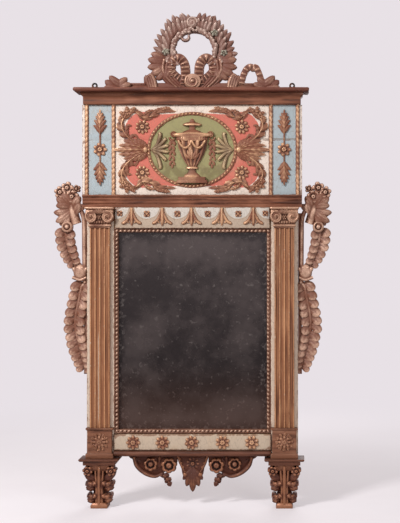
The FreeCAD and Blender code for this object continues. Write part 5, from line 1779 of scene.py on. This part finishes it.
@dataclass
class Feet:
    """Two bracket feet, each cut as a ribbed stem between two tiers of acanthus, flowered above."""
    middle: float = 371.0
    ground: float = 47.0
    depth: float = 80.0

    def build(self) -> None:
        """Carves both feet."""
        carver, deep = Carver(self.ground, 41), self.depth
        base = [(-33, 0), (33, 0), (34, 10), (27, 21), (-27, 21), (-34, 10)]
        carver.slab(base, 4.0, deep - 5)
        core = [(28, 18), (36, 36), (27, 62), (34, 84), (28, 112), (34, 130), (42, 146), (52, 158),
                (52, 172)]
        core += [(-u, z) for u, z in reversed(core)]
        carver.slab(core, 2.0, deep * 0.5)
        carver.slab([(16, 16), (14, 80), (22, 168), (-22, 168), (-14, 80), (-16, 16)], 2.0,
                    deep * 0.74)
        for way in (-1, 1):
            for z, size in ((22, 46), (70, 53)):
                wing = [(way * 6, z), (way * size * 0.6, z + 10),
                        (way * size * 0.98, z + 30)]
                carver.blade(wing, 17, Leaf.OAK, deep * 0.52,
                             cupped(22.0, 0.85), deep * 0.45)
                for index, angle in enumerate((4, 34, 62)):
                    line = ray((way * 14, z + 4 * index), 90 - way * (90 - angle),
                               size * (0.76, 0.82, 0.62)[index], 0.16 * way)
                    carver.blade(line, 8.5, Leaf.PETAL, deep * (0.58 + 0.04 * index),
                                 cupped(20.0, 0.85), deep * 0.40)
            tip = [(way * 8, 118), (way * 34, 120), (way * 58, 138)]
            carver.blade(tip, 15, Leaf.PETAL, deep * 0.66, curled(10), deep * 0.6)
            carver.flower((way * 47, 148), 21, 6, deep * 0.84, 9, 0.34, 10 * way,
                          deep * 0.3)
            carver.blade([(way * 11, 20), (way * 10, 80), (way * 15, 150)], 5,
                         Leaf.STEM, deep * 0.84, thick=14.0)
        carver.blade([(0, 16), (0, 80), (0, 168)], 7.5, Leaf.STEM, deep * 0.88, thick=20.0)
        carver.slab([(-30, 150), (30, 150), (40, 172), (-40, 172)], 2.0,
                    deep * 0.86)
        carver.make_twins("foot", Finish.APRON, self.middle)


@dataclass
class Apron:
    """The pendant leaf under the sill with a pierced scroll swag on each side."""
    ground: float = 36.0
    rose: Line = (
        (1.0, 12.0), (0.95, 19.0), (0.84, 23.0), (0.70, 23.5), (0.60, 20.0), (0.54, 13.0),
        (0.42, 12.0), (0.36, 19.0), (0.26, 23.0), (0.1, 23.5))

    def pendant(self) -> None:
        """Carves the pendant."""
        carver = Carver(self.ground, 51)
        plate = [(-65, 203), (65, 203), (57, 176), (46, 150), (42, 128), (28, 102), (0, 66),
                 (-28, 102), (-42, 128), (-46, 150), (-57, 176)]
        carver.slab(plate, 0.5, 13.0)
        carver.flower((0, 170), 27, 9, 13.0, 7.0, 0.3, 0, 2.0)
        for way in (-1, 1):
            rim = [(way * 60, 202), (way * 50, 172), (way * 36, 144), (way * 30, 124)]
            carver.blade(rim, 5.5, Leaf.STEM, 13.0, thick=12.0)
            for k in range(4):
                carver.bead((way * (52 - k * 7), 190 - k * 17), 6, 4.5, 19.0, 60 * way)
            carver.boss((way * 31, 127), (10, 10), [(1, 12), (0.85, 21), (0.5, 25.5), (0.1, 25)],
                        14)
        for angle, long, half in ((-90, 94, 15), (-70, 76, 14), (-110, 76, 14), (-48, 60, 12),
                                  (-132, 60, 12)):
            carver.blade(ray((0, 150), angle, long), half, Leaf.PETAL, 14.0,
                         cupped(5.0), thick=13.0)
        carver.make("pendant_carved", Finish.APRON, "apron_pendant")

    def swag(self) -> None:
        """Carves both swags."""
        carver = Carver(self.ground, 53)
        rim = [(238, 196), (226, 160), (192, 130), (152, 118), (122, 132)]
        carver.blade([(-x, z) for x, z in rim], 9, Leaf.HORN, 10.0, thick=10.0)
        carver.blade([(-x, z) for x, z in [(140, 124), (112, 118), (92, 84)]], 17, Leaf.OAK, 10.0,
                     curled(5), thick=10.0)
        carver.blade([(-262, 201), (-236, 190), (-214, 178)], 9, Leaf.OAK, 9.0, thick=9.0)
        for x, z, radius, petals in ((170, 168, 29, 7), (96, 163, 33, 7)):
            carver.boss((-x, z), (radius, radius), self.rose, petals * 6, petals, 0.16, 0.0, 12.0)
        for angle in (62, 84, 106, 128):
            carver.blade(ray((-140, 146), angle, 54), 8, Leaf.PALM, 8.0, thick=8.0)
        plate = [(240, 202), (64, 202), (62, 176), (80, 146), (116, 134), (150, 124), (190, 136),
                 (218, 162)]
        carver.slab([(-x, z) for x, z in plate], 0.5, 8.0)
        carver.make_pair("swag", Finish.APRON, "apron_swag")

    def build(self) -> None:
        """Carves the apron."""
        self.pendant()
        self.swag()


# ------------ the crest

@dataclass
class Crest:
    """The pierced crest: a leaf wreath over a looped ribbon bow on a leafed strip."""
    ground: float = 17.0
    foot: float = 1682.0
    heart: Point = (7.0, 1846.0)
    knots: Line = ((90, 1908), (-106, 1832), (128, 1826))
    sprigs: tuple[tuple[Line, int, Point, Point, float, float], ...] = (
        (((112, 1802), (120, 1840), (102, 1886), (76, 1926)), 8, (30, 80), (62, 62), 13.0, 5.0),
        (((94, 1800), (106, 1842), (88, 1884), (64, 1918)), 7, (54, 88), (54, 54), 12.0, 11.0),
        (((60, 1926), (42, 1940), (20, 1944)), 5, (48, 80), (54, 46), 12.0, 6.0),
        (((50, 1908), (24, 1928)), 4, (66, 96), (46, 40), 11.0, 12.0),
        (((84, 1806), (87, 1846), (70, 1884), (40, 1910)), 8, (78, 150), (46, 38), 10.5, 16.0),
        (((130, 1812), (104, 1796)), 4, (20, -40), (50, 48), 13.0, 10.0),
        (((96, 1816), (76, 1802)), 3, (-60, -120), (34, 30), 11.0, 15.0))

    def sprig(self, carver: Carver, side: int, rib: Sequence[Point], count: int,
              headings: Point, sizes: Point, half: float, level: float) -> None:
        """Carves a row of serrated leaflets that spring from a rib of the wreath.

        Args:
            carver: the carving.
            side: -1 at the left of the wreath, 1 at the right.
            rib: the rib's points, from the wreath's middle line outwards.
            count: how many leaflets.
            headings: direction of the first and the last leaflet, in degrees.
            sizes: their lengths.
            half: half their width.
            level: height of their edges.
        """
        walk = smooth_line([(self.heart[0] + side * x, z) for x, z in rib], count - 1)
        for k, (root, _) in enumerate(walk):
            share = k / (count - 1)
            angle = headings[0] + (headings[1] - headings[0]) * share
            size = sizes[0] + (sizes[1] - sizes[0]) * share
            angle = 90 - side * (90 - angle) + carver.chance.uniform(-7, 7)
            carver.blade(ray(root, angle, size * carver.chance.uniform(0.86, 1.04), 0.06 * side),
                         half, Leaf.LAUREL, level, lambda t: 9.0 * t * t, 13.0)

    def wreath(self) -> None:
        """Carves the wreath as three clusters of overlapping leaflets round a ring."""
        carver, knots = Carver(self.ground, 61), Carver(self.ground, 62)
        carver.blade(arc(self.heart, (112, 96), -22, 202, 24), 34, Leaf.RIBBON, 3.0)
        for side in (-1, 1):
            for sizes in self.sprigs:
                self.sprig(carver, side, *sizes)
        for k in range(30):
            angle = radians(-24 + 8 * k + carver.chance.uniform(-3, 3))
            reach = carver.chance.uniform(0.97, 1.16)
            spot = (self.heart[0] + 80 * reach * cos(angle),
                    self.heart[1] + 69 * reach * sin(angle))
            size = carver.chance.uniform(7.0, 10.5)
            carver.boss(spot, (size, size * 0.85), [(1, 12), (0.8, 20), (0.45, 24), (0.1, 25)],
                        12, turn=k * 40)
        curl = [(-2 + (17 - k) * 1.35 * cos(k * 0.66),
                 1950 + (17 - k) * 1.35 * sin(k * 0.66)) for k in range(16)]
        carver.boss((-2, 1950), (25, 24), [(1, 10), (0.9, 18), (0.5, 21), (0.1, 21)])
        carver.blade(curl, 4.5, Leaf.STEM, 19.0, thick=4.0)
        carver.blade(arc((-28, 1892), (15, 13), 120, 400, 8), 6, Leaf.STEM, 14.0)
        carver.make("wreath_carved", Finish.CREST, "crest_wreath")
        for x, z in self.knots:
            knots.boss((x, z), (17, 16), [(1, 12), (0.85, 25), (0.5, 31), (0.35, 27), (0.1, 29)],
                       20, 5, 0.3, turn=x)
        knots.make("wreath_knots", Finish.KNOT)

    def bow(self) -> None:
        """Carves the bow: pleated loops, fluted strands, leaf bunches, shells and a scroll."""
        carver = Carver(self.ground, 63)
        for way in (-1, 1):
            loop = [(way * 30, 1700), (way * 27, 1742), (way * 32, 1784), (way * 54, 1806),
                    (way * 78, 1794), (way * 86, 1764), (way * 80, 1734)]
            carver.blade(loop, 19, Leaf.RIBBON, 19.0, thick=18.0, pleats=12)
            for index, (top, belly, low) in enumerate(((112, 117, 58), (98, 103, 46),
                                                       (84, 90, 34), (128, 132, 72))):
                strand = [(way * top, 1802 - index * 5), (way * belly, 1760),
                          (way * (belly - 20), 1722), (way * low, 1685)]
                carver.blade(strand, 8.0, Leaf.HORN, 19.0 - 1.5 * index, thick=17.0)
            for index in range(6):
                angle, size = 26 - 21 * index, (66, 76, 82, 84, 78, 62)[index]
                line = ray((way * (104 - index), 1800 - 4 * index), 90 - way * (90 - angle), size,
                           -0.07 * way)
                carver.blade(line, 17, Leaf.PETAL, 10.0 + 2 * (index % 2),
                             cupped(8, 0.7), 12.0)
            for k in range(4):
                fold = [(way * (146 + 9 * k), 1688), (way * (152 + 11 * k), 1716 + 3 * k),
                        (way * (166 + 7 * k), 1738 - 3 * k), (way * (184 + 2 * k), 1726 - 9 * k)]
                carver.blade(fold, 8.5, Leaf.HORN, 21.0 - 1.5 * k, thick=18.0)
            rail = [(way * 84, 1724), (way * 108, 1736), (way * 128, 1744), (way * 146, 1722)]
            carver.blade(rail, 8, Leaf.STEM, 12.0, thick=12.0)
            carver.blade([(way * 30, 1694), (way * 90, 1694), (way * 156, 1694)], 11, Leaf.RIBBON,
                         16.0, thick=15.0)
        scroll = [(2 + 30 * (1 - t / 17) * cos(t * 0.62 + 2.4),
                   1712 + 28 * (1 - t / 17) * sin(t * 0.62 + 2.4)) for t in range(16)]
        carver.boss((2, 1712), (35, 32), [(1, 18), (0.94, 29), (0.5, 31), (0.1, 30)], 28)
        carver.blade(scroll, 5.5, Leaf.STEM, 30.0, thick=4.0)
        carver.boss((2, 1712), (8, 8), [(1, 32), (0.7, 37), (0.2, 38)], 10)
        for way in (-1, 1):
            tail = [(way * 100, 1800), (way * 84, 1756), (way * 54, 1726), (way * 14, 1712)]
            carver.blade(tail, 16, Leaf.RIBBON, 13.0, cupped(5.0), 12.0,
                         pleats=9)
        carver.make("bow_carved", Finish.BOW, "crest_bow")

    def strip(self) -> None:
        """Carves the strip on the crown with its end leaves, and the ribbon arch at the right."""
        carver, foot = Carver(self.ground, 65), self.foot
        carver.slab([(-330, foot), (330, foot), (300, foot + 24), (-300, foot + 24)], 0.5, 14.0)
        carver.blade([(-304, foot + 20), (0, foot + 20), (304, foot + 20)], 5, Leaf.STEM, 13.0)
        carver.blade([(-318, foot + 6), (0, foot + 6), (318, foot + 6)], 6, Leaf.STEM, 13.0)
        for way in (-1, 1):
            lobes = (((290, 6), (322, 14), (350, 34), 17), ((272, 8), (306, 26), (332, 52), 17),
                     ((290, 3), (326, 3), (352, 8), 12), ((326, 6), (290, 20), (262, 46), 17),
                     ((306, 6), (276, 10), (246, 22), 14))
            for index, (root, mid, tip, half) in enumerate(lobes):
                line = [(way * x, foot + z) for x, z in (root, mid, tip)]
                carver.blade(line, half, Leaf.PETAL, 15.0 + 3 * (index % 3),
                             cupped(9, 0.7), 15.0)
        carver.make("crest_strip_carved", Finish.BOW, "crest_base")
        arch = Carver(self.ground, 67)
        loop = [(198, 1704), (206, 1738), (220, 1764), (236, 1772), (246, 1764), (256, 1770),
                (270, 1742), (282, 1704)]
        arch.blade(loop, 12.5, Leaf.RIBBON, 18.0, thick=17.0, pleats=9)
        arch.make("ribbon_arch_carved", Finish.BOW, "crest_ribbon_arch")

    def build(self) -> None:
        """Carves the whole crest."""
        self.strip()
        self.bow()
        self.wreath()


# ------------ side garlands

@dataclass
class Garland:
    """A bracket of flowers, leaf and husks on each stile's edge, with a long husk drop below."""
    ground: float = 43.0
    edge: float = 12.0
    upper: Line = ((516, 1106), (514, 1078), (508, 1050), (500, 1022),
                                              (490, 996), (478, 974))
    lower: Line = (
        (452, 892), (460, 858), (466, 824), (474, 790), (478, 756), (478, 722), (472, 690),
        (466, 660), (458, 632), (452, 606), (446, 580), (440, 556))

    def husks(self, carver: Carver, places: Sequence[Point], size: float) -> None:
        """Carves paired husks, each over the one below it.

        Args:
            carver: the carving.
            places: where each pair springs, from the top tier down.
            size: length of a full husk.
        """
        for k, (x, z) in enumerate(reversed(places)):
            share = 0.66 + 0.34 * min(1.0, (k + 1) / 4)
            for way, lean in ((-1, 50), (1, 38)):
                angle = -90 + way * lean + carver.chance.uniform(-4, 4)
                carver.blade(ray((-x - way * 2, z + 8), angle, size * share, 0.14 * way),
                             19.0 * share, Leaf.HUSK, self.edge - 6,
                             curled(15.0), 12.0)

    def bracket(self, carver: Carver) -> None:
        """Carves the flowers, leaves, stem and cup of the left bracket.

        Args:
            carver: the carving.
        """
        stem = [(-438, 900), (-439, 1000), (-440, 1100), (-442, 1160), (-456, 1196), (-478, 1216)]
        carver.blade(stem, 10, Leaf.STEM, self.edge, thick=12.0)
        carver.slab([(-448, 902), (-426.5, 902), (-426.5, 1184), (-446, 1184)], 0.5, self.edge)
        self.husks(carver, self.upper, 46)
        carver.blade([(-518, 1130), (-504, 1050), (-472, 960)], 13, Leaf.STEM, 4.0, thick=4.0)
        cup = [(1, 4), (0.98, 20), (0.86, 25), (0.5, 29), (0.1, 30)]
        carver.boss((-456, 944), (27, 32), cup, 22, base=2.0)
        carver.blade([(-486, 924), (-456, 914), (-430, 924)], 6.5, Leaf.STEM, 24.0, thick=18.0)
        for k in range(4):
            carver.blade(ray((-456 + (k - 1.5) * 4, 926), 90 - (k - 1.5) * 20, 44), 8, Leaf.PALM,
                         23.0, thick=8.0)
        sprigs = ((-492, 1202, 200, 66, 18), (-492, 1208, 176, 62, 17), (-496, 1190, 216, 72, 16),
                  (-498, 1184, 233, 64, 15), (-496, 1196, 188, 68, 15), (-498, 1176, 252, 54, 14),
                  (-488, 1204, 96, 64, 19), (-492, 1206, 126, 74, 19), (-482, 1200, 62, 58, 17),
                  (-474, 1196, 34, 42, 13), (-494, 1216, 150, 66, 17), (-476, 1180, 76, 54, 14))
        for k, (x, z, angle, size, half) in enumerate(sprigs):
            carver.blade(ray((x, z), angle, size, 0.08 * (-1) ** k), half, Leaf.PETAL,
                         self.edge + 3 * (k % 3), cupped(8, 0.8), 13.0)
        carver.blade([(-474, 1140), (-486, 1180), (-490, 1230)], 22, Leaf.STEM, 6.0, thick=6.0)
        rims = [(1, 20), (0.93, 29), (0.72, 32), (0.5, 25), (0.42, 26), (0.3, 33), (0.1, 34)]
        carver.boss((-508, 1128), (23, 23), rims, 22, base=6.0)
        for x, z, radius, petals in ((-536, 1268, 26, 6), (-488, 1250, 28, 6),
                                     (-508, 1286, 26, 5), (-470, 1282, 17, 5)):
            carver.flower((x, z), radius, petals, 20, 13, 0.30, x * 0.7, 8.0)

    def build(self) -> None:
        """Carves both sides."""
        top, drop = Carver(self.ground, 71), Carver(self.ground, 73)
        self.bracket(top)
        self.husks(drop, self.lower, 50)
        spine = [(-x + 2, z) for x, z in self.lower]
        drop.blade([(-440, 900), *spine], 10, Leaf.STEM, 5.0, thick=5.0)
        drop.slab([(-442, 532), (-426.5, 532), (-426.5, 902), (-442, 902)], 0.5, 11.0)
        for carver, part in ((top, "garland_bracket"), (drop, "garland_drop")):
            carver.make_pair(part, Finish.GARLAND, part)


# ------------ the studio

@dataclass
class Studio:
    """The plain floor, the soft light and the camera at the photograph's angle."""
    stand: Spot = (0.40, -4.25, 0.99)
    lens: float = 72.7
    shift: Point = (-0.1752, -0.0010)
    backdrop: Colour = tone(232, 225, 230)
    lamps: tuple[tuple[str, Spot, float, float], ...] = (
        ("key", (-1.9, -2.5, 2.9), 0.8, 100.0), ("fill", (2.2, -3.2, 1.6), 1.2, 26.0),
        ("back", (0.6, 3.2, 2.4), 2.0, 45.0))
    even: float = 0.36         # strength of the even light
    near: float = 0.34         # share of the backdrop's light in the floor at the mirror

    def floor(self) -> None:
        """Lays the floor, which turns into the backdrop's own colour far from the mirror."""
        mesh = bpy.data.meshes.new("floor")
        mesh.from_pydata([(-9, -9, 0), (9, -9, 0), (9, 9, 0), (-9, 9, 0)], [], [(0, 1, 2, 3)])
        paint = Paint("floor_plain")
        cloud = paint.noise(3, 3)
        far = (paint.x * paint.x + paint.y * paint.y) ** 0.5
        far = (far + (cloud - 0.5) * 300).above(900, 3400)
        colour = paint.blend(tone(212, 205, 208), tone(220, 214, 216), cloud)
        near = tuple(part * self.near for part in self.backdrop[:3]) + (1.0,)
        glow = paint.blend(near, self.backdrop, far)
        mesh.materials.append(paint.finish(paint.blend(colour, (0, 0, 0, 1), far), 0.9,
                                           grey=0.0, glow=glow))
        item = put("floor", mesh)

    def lamp(self, name: str, place: Spot, size: float, power: float) -> None:
        """Hangs a soft box that points at the mirror's middle.

        Args:
            name: its name.
            place: where it hangs, in metres.
            size: its width in metres.
            power: its power in watts.
        """
        light = bpy.data.lights.new(name, "AREA")
        light.shape, light.size, light.energy = "SQUARE", size, power
        item = put(name, light)
        item.location = place
        way = Vector((0, 0, 1.0)) - item.location
        item.rotation_mode = "QUATERNION"
        item.rotation_quaternion = way.to_track_quat("-Z", "Y")

    def world(self) -> None:
        """Fills the room with even light and a pale backdrop."""
        world = bpy.data.worlds.new("room")
        bpy.context.scene.world = world
        world.use_nodes = True
        room = Nodes(world.node_tree)
        rays = room.node("ShaderNodeLightPath").outputs
        seen = Signal(room, rays["Is Camera Ray"]).most(Signal(room, rays["Is Glossy Ray"]))
        fill = room.node("ShaderNodeBackground", inputs={0: (1, 0.98, 0.97, 1), 1: self.even})
        shown = room.node("ShaderNodeBackground", inputs={0: self.backdrop, 1: 1.0})
        mix = room.node("ShaderNodeMixShader",
                        inputs={0: seen, 1: fill.outputs[0], 2: shown.outputs[0]})
        room.node("ShaderNodeOutputWorld", inputs={0: mix.outputs[0]})

    def camera(self) -> None:
        """Sets up the camera."""
        data = bpy.data.cameras.new("view")
        data.lens, data.shift_x, data.shift_y = self.lens, *self.shift
        item = put("view", data)
        item.location = self.stand
        item.rotation_euler = (radians(90), 0, 0)
        bpy.context.scene.camera = item

    def build(self) -> None:
        """Sets up the whole studio."""
        bpy.context.scene.view_settings.view_transform = "Standard"
        self.floor()
        self.world()
        for sizes in self.lamps:
            self.lamp(*sizes)
        self.camera()


def main() -> None:
    """Builds the mirror's looks piece by piece."""
    logging.basicConfig(level=logging.INFO, format="%(message)s")
    for part in (Studio(), Carcase(), Beading(), TwistMouldings(), OvalFrame(), Urn(),
                 PalmSprays(), Rinceaux(), SideDrops(), TopFrieze(), LowerRosettes(), Order(),
                 Apron(), Crest(), Garland(), Feet()):
        part.build()
        LOG.info("built %s", type(part).__name__)


if __name__ == "__main__":
    main()
